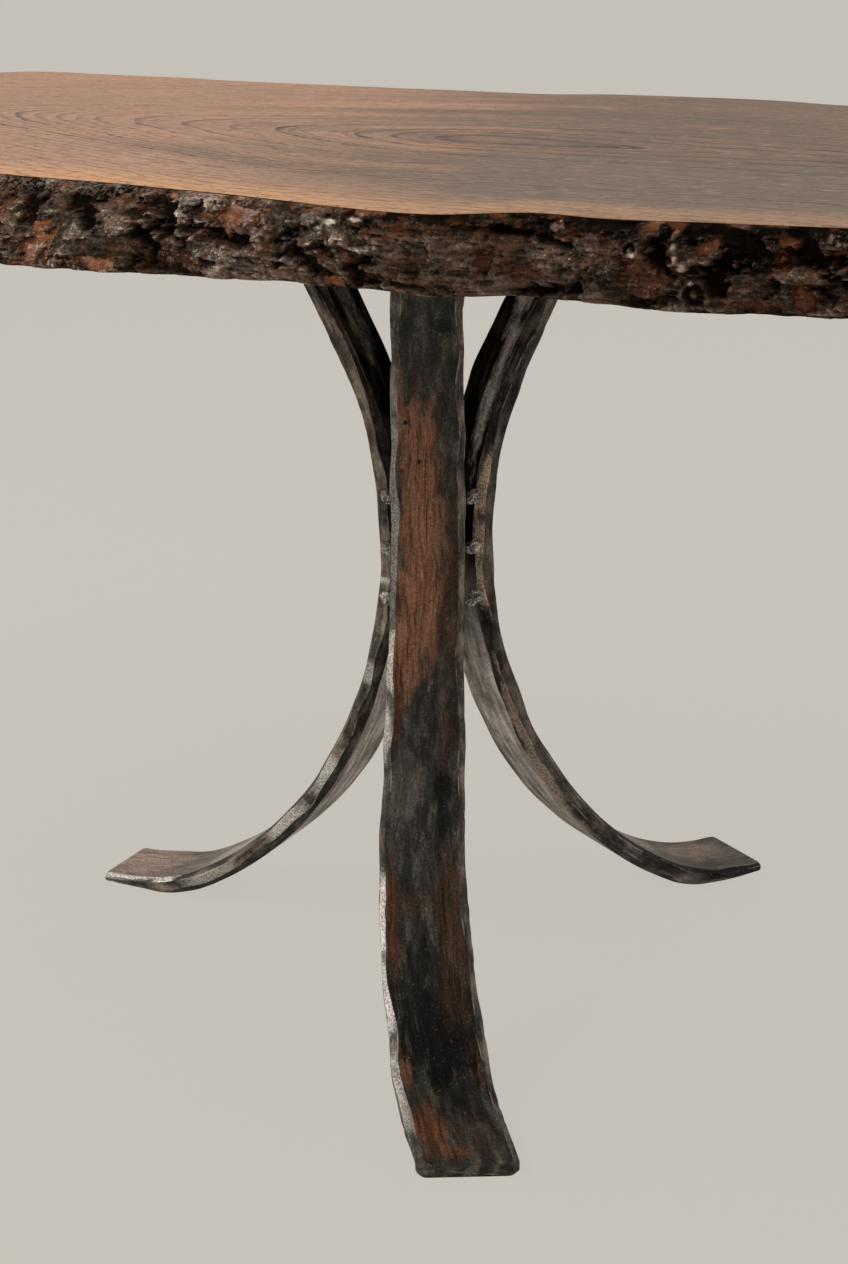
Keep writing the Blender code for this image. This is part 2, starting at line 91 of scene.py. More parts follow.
# Bark. Its body swells in lumps and plates, breaks into layers of smaller plates, and falls into hollows.
# Sizes of these are along and down the edge
BARK_THICKNESS = 0.013
BARK_RELIEF = 0.009
BARK_LUMP = (0.075, 0.040)
BARK_PLATE = (0.030, 0.022)
BODY_SHARES = {"lump": 0.75, "plate": 0.45}
THIN_RIMS = 0.45                # share of the body that is lost at its upper and lower rims
BARK_END_MARGIN = 0.035
BARK_END_SHARE = 0.25           # of its thickness, left at its ends
BARK_STEP = 0.0013
BARK_ROWS = 46
BARK_TOP_GAP = 0.0008           # its upper edge lies this far below the slab's top
BARK_RIM = 0.0055               # rounding of its upper and lower edges
BARK_RIM_SHARE = 0.45           # of its thickness, left at those edges
HEM_DROP = 0.0008               # its lower edge hangs this far below the slab, and wanders
HEM_WANDER = 0.0009
HEM_WAVE = 0.022
HEM_SEED = 61.0
BARK_SHARP = 24                 # degrees by which neighbouring facets turn where they meet in an edge
FRONT_SEED = 17.0
REAR_SEED = 41.0
# Layers of plates: size, bend of their borders, seed, and strength in plain and in bold bark
PLATE_LAYERS = {
    "block": ((0.062, 0.030), 0.35, 27.0, 0.0, 1.0),
    "scale": ((0.036, 0.016), 0.60, 0.0, 1.0, 1.0),
    "chip": ((0.015, 0.0062), 1.00, 9.0, 1.0, 0.60),
    "shard": ((0.0070, 0.0030), 1.80, 15.0, 1.0, 0.70),
}
BEND_SIZE = (0.026, 0.018)
PLATE_LEVEL = 0.7               # how unlike the levels of neighbouring plates are
PLATE_TILT = (1.1, 1.3)
CELL_SPACING = 9.7              # sets the plates' chance levels and tilts apart
FIBRE_SIZE = (0.024, 0.0024)
LAYER_RISES = {"block": 0.0055, "scale": 0.0060, "chip": 0.0036, "shard": 0.0018, "fibre": 0.0012}
# The look runs from dark (0) to light (1), and swings about its middle by the layers, lighter on
# raised plates and darker on sunken ones, partly as painted light and shade
MIDDLE_LOOK = 0.50
LAYER_SWINGS = {"lump": 0.14, "block": 0.34, "scale": 0.22, "chip": 0.30, "shard": 0.22, "fibre": 0.16}
HOLLOW_SIZE = (0.026, 0.013)
HOLLOW_RANGE = (-0.12, -0.62)   # of its noise, from no hollow to a full one
HOLLOW_DEPTH = 0.72             # share of the body that a hollow takes
HOLLOW_PAINTED_SHADE = 0.95              # and of the look, darkened there as painted shade
RIDGE_RANGE = (0.1, 0.7)        # of the same noise, on the ridges between hollows, which are lightened as painted light
RIDGE_PAINTED_LIGHT = 0.10
BOLD_BARK = (0.10, 0.0)         # places along the front edge, between which bold bark comes in
BOLD_FILL = 0.40                # share by which it fills the hollows
CALM_BARK = (0.18, 0.22, 0.37, 0.33)    # stretch of the front edge with smoother bark, fading in and out
CALM_FILL = 0.65
CALM_LOOK = 0.40
CALM_SHARE = 0.45               # of the look there that turns to this
BARE_THICKNESS = 0.0012         # inner bark left where the rest has come away
BARE_BODY = 0.45                # and the share of the body that is left with it
BARE_RISES = {"chip": 0.0014, "fibre": 0.0008}
# Other features of the front edge: share of the body, rises of its layers, look, swings of the look by the
# layers, and raggedness of the rim
Feature = namedtuple("Feature", "body rises look swings ragged")
SMOOTH_PLATE = Feature(0.95, {"fibre": 0.0006, "shard": 0.0008}, 0.40, {"fibre": 0.10, "shard": 0.14}, 0.6)
BURL = Feature(1.10, {"ring": 0.0022, "shard": 0.0016}, 0.42, {"ring": 0.30, "shard": 0.30}, 0.3)
BURL_RINGS = 1.1                # in half its width
# A gash's look is black, as painted shade
GASH = Feature(0.20, {}, 0.0, {}, 1.0)
PALE_CRUMB = Feature(1.05, {}, 1.1, {}, 0.8)
RAG_SIZE = (0.010, 0.007)       # of the ragged rims
RAG_SEED = 3.0
SPOT_REACH = 2.5                # in half sizes of a feature, beyond which it has no effect
SPOT_RIM = (1.35, 0.55)         # where it begins and is full
SPOT_FRAY = 0.75
GASH_RIM = (1.4, 0.3)
GASH_FRAY = 0.9

# Features of the front edge, placed by pixels of the photograph: column, row, half width and half height.
# Where the bark has come away, also the tone of the wood there, from red-brown (0) to tan (1), and how bare
# the place is
BARE_PATCHES = (
    (240, 217, 33, 17, 0.55, 1.0), (316, 209, 21, 5, 0.50, 1.0), (363, 212, 16, 5, 0.55, 1.0),
    (38, 243, 15, 23, 0.75, 0.9), (93, 263, 25, 7, 0.85, 1.0), (4, 208, 6, 11, 0.70, 0.9),
    (8, 241, 4, 5, 0.80, 0.9), (172, 196, 9, 4, 0.80, 1.0), (331, 280, 10, 6, 0.70, 1.0),
    (182, 258, 22, 10, 0.05, 0.6), (487, 259, 13, 11, 0.20, 0.8), (527, 270, 22, 6, 0.40, 0.8),
    (559, 227, 7, 6, 0.45, 0.9), (598, 250, 26, 18, 0.10, 0.45), (645, 284, 24, 16, 0.05, 0.9),
    (629, 260, 14, 4, 0.55, 0.8), (653, 230, 11, 11, 0.45, 1.0), (708, 247, 15, 7, 0.40, 0.9),
    (805, 300, 15, 12, 0.35, 1.0), (738, 225, 14, 4, 0.30, 0.8), (776, 225, 20, 4, 0.30, 0.8),
    (755, 306, 34, 5, 0.35, 0.8), (781, 262, 15, 15, 0.05, 0.5),
)
SMOOTH_PLATES = ((65, 222, 13, 27), (105, 244, 26, 14), (282, 214, 18, 14))
BURLS = ((697, 294, 16, 17), (634, 249, 9, 10))
# The first two pale crumbs are painted highlights
PALE_CRUMBS = (
    (329, 221, 7, 2.5), (355, 220, 7, 2.5), (677, 234, 3, 4), (678, 246, 3, 3.5), (680, 258, 3, 4),
    (686, 266, 4, 4), (635, 254, 4, 5), (694, 282, 3, 3), (832, 238, 4, 5),
)
# Deep gashes, painted black as painted shade in their depths: columns and rows of both ends, and half width
GASHES = (
    (78, 198, 94, 224, 5), (164, 198, 172, 224, 8), (213, 230, 244, 241, 5), (293, 249, 344, 286, 5.5),
    (655, 238, 668, 275, 8), (31, 181, 33, 214, 6), (366, 208, 400, 216, 5), (495, 228, 570, 247, 4.5),
    (712, 230, 772, 256, 9), (520, 291, 578, 289, 6), (800, 232, 826, 262, 7), (140, 232, 160, 246, 4),
    (420, 212, 462, 216, 5), (590, 222, 632, 226, 4),
)

# Forged bars, as the CAD draws them
BAR_THICKNESS = 0.019
TOE_DRAWN_LENGTH = 0.11
EDGE_BEVEL = 0.0055
BEVEL_SLOPE = 0.55
INNER_BEVEL = 0.0065
BEVEL_WANDER = 0.8
HAMMER_DEPTH = 0.0022
HAMMER_PITCH = 0.045
BEVEL_PITCH = 1.3 * HAMMER_PITCH
CLEARANCE = 0.0003
WAIST_HEIGHT = 0.405
WAIST_RADIUS = 0.0328
TOE_BEND_RADIUS = 0.119
FOOT_SLOPE = math.radians(61)
PAD_LENGTH = 0.088
PAD_BEND_RADIUS = 0.050
TOP_STRAIGHT = 0.109
TOP_SLOPE = math.radians(30.5)
# Each bar as forged by hand: direction in degrees, noise seed, length of the foot that lies on the floor,
# thickness of the drawn-out toe, and widths and sideways sways at distances below the waist
LEGS = {
    "front_leg": {
        "direction": -60.0, "seed": 3.0, "foot": 0.069, "toe": 0.0128,
        "widths": ((-0.434, 0.056), (0.0, 0.066), (0.207, 0.075), (0.326, 0.079), (0.474, 0.0825),
                   (0.593, 0.081)),
        "sways": ((-0.434, -0.0100), (0.0, -0.0085), (0.207, -0.0150), (0.326, -0.0175), (0.474, -0.0065),
                  (0.593, 0.0105)),
    },
    "right_leg": {
        "direction": 60.0, "seed": 11.0, "foot": 0.054, "toe": 0.008,
        "widths": ((-0.434, 0.056), (0.0, 0.066), (0.202, 0.078), (0.318, 0.088), (0.462, 0.0895),
                   (0.578, 0.086)),
        "sways": ((-0.434, 0.0), (0.0, 0.0), (0.202, -0.0030), (0.318, -0.0030), (0.462, 0.0),
                  (0.578, -0.0030)),
    },
    "left_leg": {
        "direction": 180.0, "seed": 23.0, "foot": 0.060, "toe": 0.008,
        "widths": ((-0.434, 0.056), (0.0, 0.066), (0.204, 0.080), (0.321, 0.084), (0.467, 0.079),
                   (0.584, 0.076)),
        "sways": ((-0.434, -0.0180), (0.0, 0.0), (0.204, -0.0030), (0.321, -0.0085), (0.467, -0.0030),
                  (0.584, 0.0030)),
    },
}
PAD_TOP = UNDERSIDE - CLEARANCE
BAR_STEP = 0.003
BAR_ROUNDING = 0.0006        # of the arrises between its faces
BAR_EASING = 0.3             # share of that rounding by which an arris is drawn in
LIP_LIMIT = 0.25             # most of a side's width that its rounding takes
BAR_SHARP = 38               # degrees
BAR_POINTS = (3, 9, 3, 4, 3, 15, 3, 4)    # along each side of the section, from the left inner bevel round
TOE_ROUNDING = 0.006
TOE_ROWS = (0.6, 0.35, 0.15, 0.05, 0.0)    # shares of that rounding, back from the toe's tip
TOE_DROP = 0.35              # of the toe's face, over the drawing in of its sides
DENT_DEPTH = 0.0005          # hammer marks on the faces
DENT_SIZE = 0.024
SCALLOP_DEPTH = 0.0007       # and on the bevels and sides
SCALLOP_SIZE = 0.014
ARRIS_WIDTH = 0.0009         # of the rubbed line along an arris
ARRIS_CORE = 0.0002          # where it is brightest
INNER_BOLT_PLACE = -0.368    # along the bar from the waist
# A bar's material slots, and the slot of each side of its section
FACE_SLOT, BEVEL_SLOT, SIDE_SLOT, INNER_SLOT, BACK_SLOT = range(5)
SIDE_SLOTS = (
    INNER_SLOT, BACK_SLOT, INNER_SLOT, SIDE_SLOT, BEVEL_SLOT, FACE_SLOT, BEVEL_SLOT, SIDE_SLOT,
)

# Weld nuggets and bolts
SEAM_DIRECTION = {"front_right": 0.0, "right_left": 120.0, "left_front": 240.0}
WELD_LABELS = ("lower", "middle", "upper")
WELD_SPREAD = (0.92, 0.62, 0.66)    # of the CAD's nuggets, across the seam, outward and upward
WELD_BODY = 0.90             # share of that spread which is left before lumps and crumbs
WELD_LUMP = (0.30, 1.9)      # their size, and how close they lie
WELD_CRUMB = (0.10, 6.5)
WELD_ROUNDS = 5              # of subdivision
WELD_SEED_STEP = 7.0
BOLT_DIAMETER = 0.010
BOLT_HEAD_ACROSS = 0.017
BOLT_HEAD_HEIGHT = 0.0064
HEAD_CHAMFER = math.radians(30)
CROWN_SHARE = 0.94           # of the head's width across flats
DIMPLE_SHARES = (0.55, 0.62)    # of the crown, at the dimple's bottom and rim
DIMPLE_DEPTH = 0.0003
BOLT_SHARP = 25              # degrees
ROUND_POINTS = 48

# Camera, fitted to the photograph's 848 x 1264 frame
PHOTO_WIDTH = 848
PHOTO_HEIGHT = 1264
FOCAL_PIXELS = 1991
CAMERA_PLACE = Vector((0.8172, -1.5139, 0.9268))    # from the tripod's axis
CAMERA_HEADING = math.radians(118.75)
CAMERA_DIP = math.radians(19.41)
CAMERA_ROLL = math.radians(-0.613)
SENSOR_HEIGHT = 36.0
CLIP_END = 200.0
FEATURE_LEVEL = 0.6          # share of the bark's thickness at which its features are placed
FIRST_GUESS = (0.15, 0.5)    # of a feature's place along the slab, and its share of the way down
GUESSES = 8
PROBE = (0.002, 0.02)        # steps by which a guess is tested

# Studio
FLOOR_REACH = 60.0
FLOOR_SEEN = 0.90            # share of the backdrop's plain colour in what the camera sees of the floor
FLOOR_GLOW = 1.03
ROOM_LIGHT = (1.0, 0.985, 0.96, 1.0)
ROOM_STRENGTH = 0.55
# Soft boxes, a large one at the camera's left, a weaker one at its right and one above: place, aim, size
# and power
SOFTBOXES = {
    "left_softbox": ((-2.3, -1.5, 2.0), (-0.1, -0.1, 0.55), (2.2, 1.8), 62.0),
    "right_softbox": ((2.6, 0.2, 1.6), (0.1, 0.0, 0.45), (1.4, 1.8), 18.0),
    "top_softbox": ((-0.5, 0.6, 3.0), (0.0, 0.0, 0.76), (2.6, 2.0), 14.0),
}


def srgb(red, green, blue):
    """A linear colour from the 0 to 255 values that a picture shows."""
    def linear(value):
        share = value / 255
        return share / 12.92 if share <= 0.04045 else ((share + 0.055) / 1.055) ** 2.4
    return (linear(red), linear(green), linear(blue), 1.0)


def greys(cast, *tones):
    """Greys of these tones in red, with the cast's shares of it in green and blue."""
    green, blue = cast
    return [srgb(tone, green * tone, blue * tone) for tone in tones]


WARM = (0.92, 0.84)
COOL = (0.96, 0.86)
PLAIN = (0.955, 0.915)
# Colour of the bars' bright places: bare metal and painted highlights
SILVER = srgb(218, 213, 206)
RUSTY_TAN = srgb(214, 190, 168)
BACKDROP = srgb(199, 194, 186)


# Curves shared by the pieces

def smooth_through(points, t):
    """Value at t of a smooth curve through points of (place, value)."""
    last = len(points) - 1
    i = next((k for k in range(last) if t <= points[k + 1][0]), last - 1)
    (t0, v0), (t1, v1) = points[i], points[i + 1]

    def slope(k):
        a, b = points[max(k - 1, 0)], points[min(k + 1, last)]
        return (b[1] - a[1]) / (b[0] - a[0])

    width = t1 - t0
    u = min(max((t - t0) / width, 0.0), 1.0)
    rise = (2 * u**3 - 3 * u**2 + 1) * v0 + (3 * u**2 - 2 * u**3) * v1
    return rise + width * ((u**3 - 2 * u**2 + u) * slope(i) + (u**3 - u**2) * slope(i + 1))


def smooth_step(low, high, value):
    u = min(max((value - low) / (high - low), 0.0), 1.0)
    return u * u * (3 - 2 * u)


def tripod_y():
    """Y of the tripod's axis, from the left bar, which runs along -X and sways along Y."""
    low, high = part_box("left_inner_bolt")
    return (low.y + high.y) / 2 + smooth_through(LEGS["left_leg"]["sways"], INNER_BOLT_PLACE)


TRIPOD_Y = tripod_y()


def ripple(place, seed, pitch):
    """Smooth noise along a length, from about -1 to 1."""
    return noise.noise(Vector((place / pitch, seed, 0.37 * seed)))


def evenly(reach, step):
    """Places from -reach to reach, about a step apart."""
    count = round(2 * reach / step)
    return [reach * (2 * i / count - 1) for i in range(count + 1)]


def edge_y(x, rear):
    """Where the slab's natural edge runs at x, at its top arris."""
    bulge = smooth_through(REAR_EDGE if rear else FRONT_EDGE, x)
    wobble = EDGE_WOBBLE * ripple(x, WOBBLE_SEEDS[rear], EDGE_WAVE)
    nicks = EDGE_RAGGED * ripple(x, RAGGED_SEEDS[rear], RAGGED_WAVE)
    reach = SLAB_WIDTH / 2 + bulge + wobble + nicks
    return TRIPOD_Y + SLAB_OFFSET + (reach if rear else -reach)


def edge_lean(x, depth, rear):
    """How far the natural edge lies outside its top arris, at this depth below the top."""
    share = depth / SLAB_THICKNESS
    lean = smooth_through(REAR_LEAN if rear else FRONT_LEAN, x)
    return lean * share + EDGE_SWELL * math.sin(math.pi * share)


def camera_axes():
    """The photograph's directions to the right, up and ahead."""
    flat = math.cos(CAMERA_DIP)
    east, north = math.cos(CAMERA_HEADING), math.sin(CAMERA_HEADING)
    ahead = Vector((east * flat, north * flat, -math.sin(CAMERA_DIP)))
    level = Vector((north, -east, 0.0))
    right = math.cos(CAMERA_ROLL) * level + math.sin(CAMERA_ROLL) * level.cross(ahead)
    return right, right.cross(ahead), ahead


def photo_pixel(x, share):
    """Column and row in the photograph of a point on the front bark, at this share of the way down."""
    depth = share * SLAB_THICKNESS
    out = edge_lean(x, depth, False) + FEATURE_LEVEL * BARK_THICKNESS
    point = Vector((x, edge_y(x, False) - out, TABLE_HEIGHT - depth))
    seen = point - CAMERA_PLACE - Vector((0.0, TRIPOD_Y, 0.0))
    right, above, ahead = camera_axes()
    scale = FOCAL_PIXELS / seen.dot(ahead)
    middle = Vector((PHOTO_WIDTH / 2, PHOTO_HEIGHT / 2))
    return middle + scale * Vector((seen.dot(right), -seen.dot(above)))


def on_front_edge(column, row, half_width, half_height):
    """A feature in the photograph, as its place along the slab, share of the way down, and half sizes so."""
    x, share = FIRST_GUESS
    for _ in range(GUESSES):
        here = photo_pixel(x, share)
        by_x = (photo_pixel(x + PROBE[0], share) - here) / PROBE[0]
        by_share = (photo_pixel(x, share + PROBE[1]) - here) / PROBE[1]
        miss = Vector((column, row)) - here
        turn = by_x.x * by_share.y - by_share.x * by_x.y
        x += (miss.x * by_share.y - by_share.x * miss.y) / turn
        share += (by_x.x * miss.y - miss.x * by_x.y) / turn
    return x, share, half_width / by_x.x, half_height / by_share.y


# Mesh helpers

def add_piece(name, bm, materials, node, sharp_angle=None):
    """A piece on the table's one body, from a bmesh that is freed. It stands for a CAD node.

    Its edges are shaded smooth, or only those that bend less than the sharp angle.
    """
    bmesh.ops.recalc_face_normals(bm, faces=bm.faces)
    mesh = bpy.data.meshes.new(name)
    bm.to_mesh(mesh)
    bm.free()
    mesh.shade_smooth()
    if sharp_angle:
        mesh.set_sharp_from_angle(angle=math.radians(sharp_angle))
    for material in materials:
        mesh.materials.append(material)
    piece = bpy.data.objects.new(name, mesh)
    bpy.context.scene.collection.objects.link(piece)
    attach(piece, "root")
    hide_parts(node)


def skin(bm, loops, slots=None):
    """Quads between neighbouring loops of equally many points, each with its point's material slot."""
    count = len(loops[0])
    for near, far in zip(loops, loops[1:]):
        for i in range(count):
            j = (i + 1) % count
            face = bm.faces.new((near[i], near[j], far[j], far[i]))
            face.material_index = slots[i] if slots else 0


def cap_ends(bm, loops, slot=0):
    """A face over the first loop and over the last."""
    for loop in (loops[0], loops[-1]):
        bm.faces.new(loop).material_index = slot


# Shader helpers

class Shading:
    """Adds nodes to one tree. Each call links or sets a node's inputs and gives its output."""

    def __init__(self, tree):
        self.tree = tree

    def feed(self, socket, value):
        if isinstance(value, bpy.types.NodeSocket):
            self.tree.links.new(value, socket)
        else:
            socket.default_value = value

    def feed_all(self, sockets, inputs):
        """Links or sets sockets by their names, written with _ for a space."""
        for name, value in inputs.items():
            self.feed(sockets[name.replace("_", " ")], value)

    def node(self, kind, settings=None, **inputs):
        node = self.tree.nodes.new(kind)
        for name, value in (settings or {}).items():
            setattr(node, name, value)
        self.feed_all(node.inputs, inputs)
        return node

    def math(self, operation, *values):
        node = self.node("ShaderNodeMath", {"operation": operation})
        for socket, value in zip(node.inputs, values):
            self.feed(socket, value)
        return node.outputs[0]

    def plus(self, value, *others):
        for other in others:
            value = self.math("ADD", value, other)
        return value

    def minus(self, value, *others):
        for other in others:
            value = self.math("SUBTRACT", value, other)
        return value

    def times(self, value, *others):
        for other in others:
            value = self.math("MULTIPLY", value, other)
        return value

    def swing(self, value, amount):
        """A value that lies about 0.5, as a swing of this amount about 0."""
        return self.times(self.minus(value, 0.5), amount)

    def vector(self, operation, *values):
        node = self.node("ShaderNodeVectorMath", {"operation": operation})
        for socket, value in zip(node.inputs, values):
            self.feed(socket, value)
        return node.outputs["Value" if operation == "LENGTH" else "Vector"]

    def mix(self, factor, first, second, blend="MIX"):
        node = self.node("ShaderNodeMix", {"data_type": "RGBA", "blend_type": blend})
        for index, value in ((0, factor), (6, first), (7, second)):
            self.feed(node.inputs[index], value)
        return node.outputs[2]

    def laid_over(self, colour, *layers):
        """The colour with others laid over it in turn, each given after its mask."""
        for mask, layer in layers:
            colour = self.mix(mask, colour, layer)
        return colour

    def spread(self, value, low, high, to_low=0.0, to_high=1.0):
        """The value mapped smoothly from low to high on to another range, and held beyond it."""
        node = self.node("ShaderNodeMapRange", {"interpolation_type": "SMOOTHSTEP"}, Value=value,
                         From_Min=low, From_Max=high, To_Min=to_low, To_Max=to_high)
        return node.outputs["Result"]

    def ramp(self, value, *stops):
        """Colours at stops of (place, colour) along the value."""
        node = self.node("ShaderNodeValToRGB", Fac=value)
        elements = node.color_ramp.elements
        while len(elements) < len(stops):
            elements.new(0.5)
        for element, (place, colour) in zip(elements, stops):
            element.position = place
            element.color = colour
        return node.outputs["Color"]

    def noise(self, vector, scale, detail, roughness=0.5):
        node = self.node("ShaderNodeTexNoise", Vector=vector, Scale=scale, Detail=detail,
                         Roughness=roughness)
        return node.outputs[0]

    def drawn_noise(self, vector, closeness, detail, roughness=0.5):
        """Noise that is closer along one axis than another."""
        return self.noise(self.vector("MULTIPLY", vector, closeness), 1.0, detail, roughness)

    def noise_along(self, place, scale, detail):
        """Noise along one value."""
        node = self.node("ShaderNodeTexNoise", {"noise_dimensions": "1D"}, W=place, Scale=scale,
                         Detail=detail)
        return node.outputs[0]

    def places(self):
        """Where a point lies in the table's own frame."""
        return self.node("ShaderNodeTexCoord").outputs["Object"]

    def attribute(self, name, output="Vector"):
        return self.node("ShaderNodeAttribute", {"attribute_name": name}).outputs[output]

    def parts(self, vector):
        return self.node("ShaderNodeSeparateXYZ", Vector=vector).outputs

    def join(self, x, y, z):
        return self.node("ShaderNodeCombineXYZ", X=x, Y=y, Z=z).outputs[0]

    def bump(self, height, distance, strength):
        node = self.node("ShaderNodeBump", Height=height, Distance=distance, Strength=strength)
        return node.outputs["Normal"]

    def group(self, tree, **inputs):
        """A group's first output, or all of them where it has more."""
        outputs = self.node("ShaderNodeGroup", {"node_tree": tree}, **inputs).outputs
        return outputs[0] if len(outputs) == 1 else outputs


def new_group(name, inputs, outputs):
    """A node group with named sockets: its shading, its inputs and its output node."""
    tree = bpy.data.node_groups.new(name, "ShaderNodeTree")
    for in_out, sockets in (("INPUT", inputs), ("OUTPUT", outputs)):
        for label, kind in sockets.items():
            tree.interface.new_socket(name=label, in_out=in_out, socket_type=f"NodeSocket{kind}")
    shading = Shading(tree)
    return shading, shading.node("NodeGroupInput").outputs, shading.node("NodeGroupOutput")


def put_out(shade, out, **values):
    """Ends a group: feeds its outputs and gives its tree."""
    shade.feed_all(out.inputs, values)
    return shade.tree


def new_material(name):
    """A material with its shading."""
    material = bpy.data.materials.new(name)
    material.use_nodes = True
    return material, Shading(material.node_tree)


def finished(material, shade, **inputs):
    """Feeds the inputs of the material's shader and gives the material."""
    shade.feed_all(shade.tree.nodes["Principled BSDF"].inputs, inputs)
    return material


# Effects that several finishes share

def soft_patch_group():
    """A blot with a soft, frayed edge: 1 inside an ellipse about its centre, 0 outside it."""
    shade, given, out = new_group(
        "soft_patch", {"Place": "Vector", "Centre": "Vector", "Half Size": "Vector", "Fray": "Float"},
        {"Mask": "Float"})
    offset = shade.vector("SUBTRACT", given["Place"], given["Centre"])
    away = shade.vector("LENGTH", shade.vector("DIVIDE", offset, given["Half Size"]))
    return put_out(shade, out, Mask=shade.spread(shade.plus(away, given["Fray"]), 1.35, 0.60))


def streaks_group():
    """Long fine streaks, as of grain or of drawing a file along a bar."""
    shade, given, out = new_group(
        "streaks", {"Place": "Vector", "Stretch": "Vector", "Contrast": "Float"}, {"Streak": "Float"})
    fine = shade.drawn_noise(given["Place"], given["Stretch"], 4.0, 0.62)
    return put_out(shade, out, Streak=shade.plus(shade.swing(fine, given["Contrast"]), 0.5))


def grit_group():
    """Fine specks: their mask, and a rough height for bumps."""
    shade, given, out = new_group(
        "grit", {"Place": "Vector", "Size": "Float", "Share": "Float"},
        {"Specks": "Float", "Height": "Float"})
    rough = shade.noise(given["Place"], shade.math("DIVIDE", 1.0, given["Size"]), 3.0, 0.7)
    level = shade.minus(0.75, shade.times(given["Share"], 0.4))
    return put_out(shade, out, Specks=shade.spread(rough, level, shade.plus(level, 0.08)), Height=rough)


def torn_rim_group():
    """An uneven value about 0, which frays the rims of soft patches along a bar."""
    shade, given, out = new_group("torn_rim", {"Place": "Vector", "Streak": "Float"}, {"Fray": "Float"})
    torn = shade.swing(shade.drawn_noise(given["Place"], (110.0, 40.0, 0.0), 4.0, 0.6), 1.9)
    return put_out(shade, out, Fray=shade.plus(torn, shade.swing(given["Streak"], 0.7)))


def rough_grain_group():
    """A colour, lighter and darker by a fine rough value about 0.5."""
    shade, given, out = new_group(
        "rough_grain", {"Color": "Color", "Rough": "Float", "Amount": "Float"}, {"Color": "Color"})
    swing = shade.times(shade.swing(given["Rough"], given["Amount"]), 2.0)
    level = shade.math("MAXIMUM", shade.plus(1.0, swing), 0.1)
    return put_out(shade, out, Color=shade.mix(1.0, given["Color"], level, "MULTIPLY"))


def worn_arris_group():
    """1 along stretches of a bar's arrises that are rubbed bright, fading within a millimetre."""
    shade, given, out = new_group("worn_arris", {"Place": "Vector", "To Arris": "Float"}, {"Mask": "Float"})
    edge = shade.spread(given["To Arris"], ARRIS_WIDTH, ARRIS_CORE)
    rubbed = shade.spread(shade.noise(given["Place"], 38.0, 5.0, 0.7), 0.46, 0.66)
    return put_out(shade, out, Mask=shade.times(edge, rubbed))


def mottle_group():
    """Clouds mixed with streaks, as scale and filing leave them."""
    shade, given, out = new_group(
        "mottle", {"Place": "Vector", "Streak": "Float", "Fineness": "Float"}, {"Mottle": "Float"})
    cloud = shade.times(shade.noise(given["Place"], given["Fineness"], 5.0, 0.65), 0.62)
    return put_out(shade, out, Mottle=shade.plus(cloud, shade.times(given["Streak"], 0.38)))


SOFT_PATCH = soft_patch_group()
STREAKS = streaks_group()
GRIT = grit_group()
TORN_RIM = torn_rim_group()
ROUGH_GRAIN = rough_grain_group()
WORN_ARRIS = worn_arris_group()
MOTTLE = mottle_group()


# Walnut

FIGURE_HEART = (0.015, -0.066)   # on the slab's top, where the V-shaped figure closes
FIGURE_TILT = -0.13              # slope of the figure's axis
FIGURE_RISE = 0.32               # how fast its rings open out from their tips at the left
FIGURE_RIGHT = 0.05              # and how slowly they close beyond the heart
FIGURE_TURN = 0.10               # length over which one passes into the other
FIGURE_TIP = 0.085               # rounding of the tips
FIGURE_DRIFT = 0.040             # slow and quick wander of the rings
FIGURE_WAVER = 0.020
FIRST_RING = 0.0165
RING_GROWTH = 1.115              # distance of each ring from the axis over that of the one before
RING_LINE = 0.0045               # width of the dark line at a ring's end
RING_CORE = 0.001                # and of its darkest part
# Marks on the slab's top: along it, across it, half length, half width, strength and colour
WOOD_MARKS = (
    (0.048, -0.128, 0.034, 0.014, 0.45, srgb(190, 124, 86)),
    (-0.001, -0.026, 0.020, 0.012, 0.55, srgb(190, 124, 86)),
    (0.257, -0.061, 0.024, 0.0045, 0.80, srgb(56, 41, 34)),
    (0.130, 0.020, 0.070, 0.020, 0.35, srgb(96, 88, 74)),
    (-0.090, -0.045, 0.090, 0.022, 0.35, srgb(104, 90, 74)),
)
MARK_DEPTH = 0.01
# Where paler warm wood gives way to grey across the front half, as painted sheen of the wood's chatoyance:
# a place on the border, and its slant
BORDER_PLACE = (0.071, -0.156)
BORDER_SLANT = 0.42


def growth_rings(shade, place):
    """Distance of a place from the figure's axis, and the number of its growth ring."""
    x, y, z = shade.parts(place)
    drift = shade.drawn_noise(place, (2.5, 5.0, 5.0), 1.0)
    waver = shade.drawn_noise(place, (22.0, 40.0, 40.0), 3.0)
    along = shade.minus(x, FIGURE_HEART[0])
    aside = shade.minus(y, FIGURE_HEART[1], shade.times(along, FIGURE_TILT))
    aside = shade.plus(aside, shade.swing(drift, FIGURE_DRIFT), shade.swing(waver, FIGURE_WAVER))
    deep = shade.minus(z, TABLE_HEIGHT + FIGURE_TIP)
    squares = shade.plus(shade.math("POWER", aside, 2.0), shade.math("POWER", deep, 2.0))
    left = shade.times(shade.math("SMOOTH_MIN", along, 0.0, FIGURE_TURN), -FIGURE_RISE)
    right = shade.times(shade.math("SMOOTH_MAX", along, 0.0, FIGURE_TURN), FIGURE_RIGHT)
    opened = shade.plus(left, right, shade.math("SQRT", squares))
    return opened, shade.math("LOGARITHM", shade.math("DIVIDE", opened, FIRST_RING), RING_GROWTH)


def ring_lines(shade, opened, count, finer):
    """Dark lines at the ends of the rings, or of so many finer ones in each, some strong and some faint."""
    count = shade.times(count, finer)
    strength = shade.node("ShaderNodeTexWhiteNoise", {"noise_dimensions": "1D"},
                          W=shade.math("FLOOR", count)).outputs["Value"]
    left = shade.minus(1.0, shade.math("FRACT", count))
    short = shade.times(left, opened, math.log(RING_GROWTH) / finer)
    return shade.times(shade.spread(short, RING_LINE, RING_CORE), shade.spread(left, 0.65, 0.45),
                       shade.spread(strength, -0.15, 0.90))


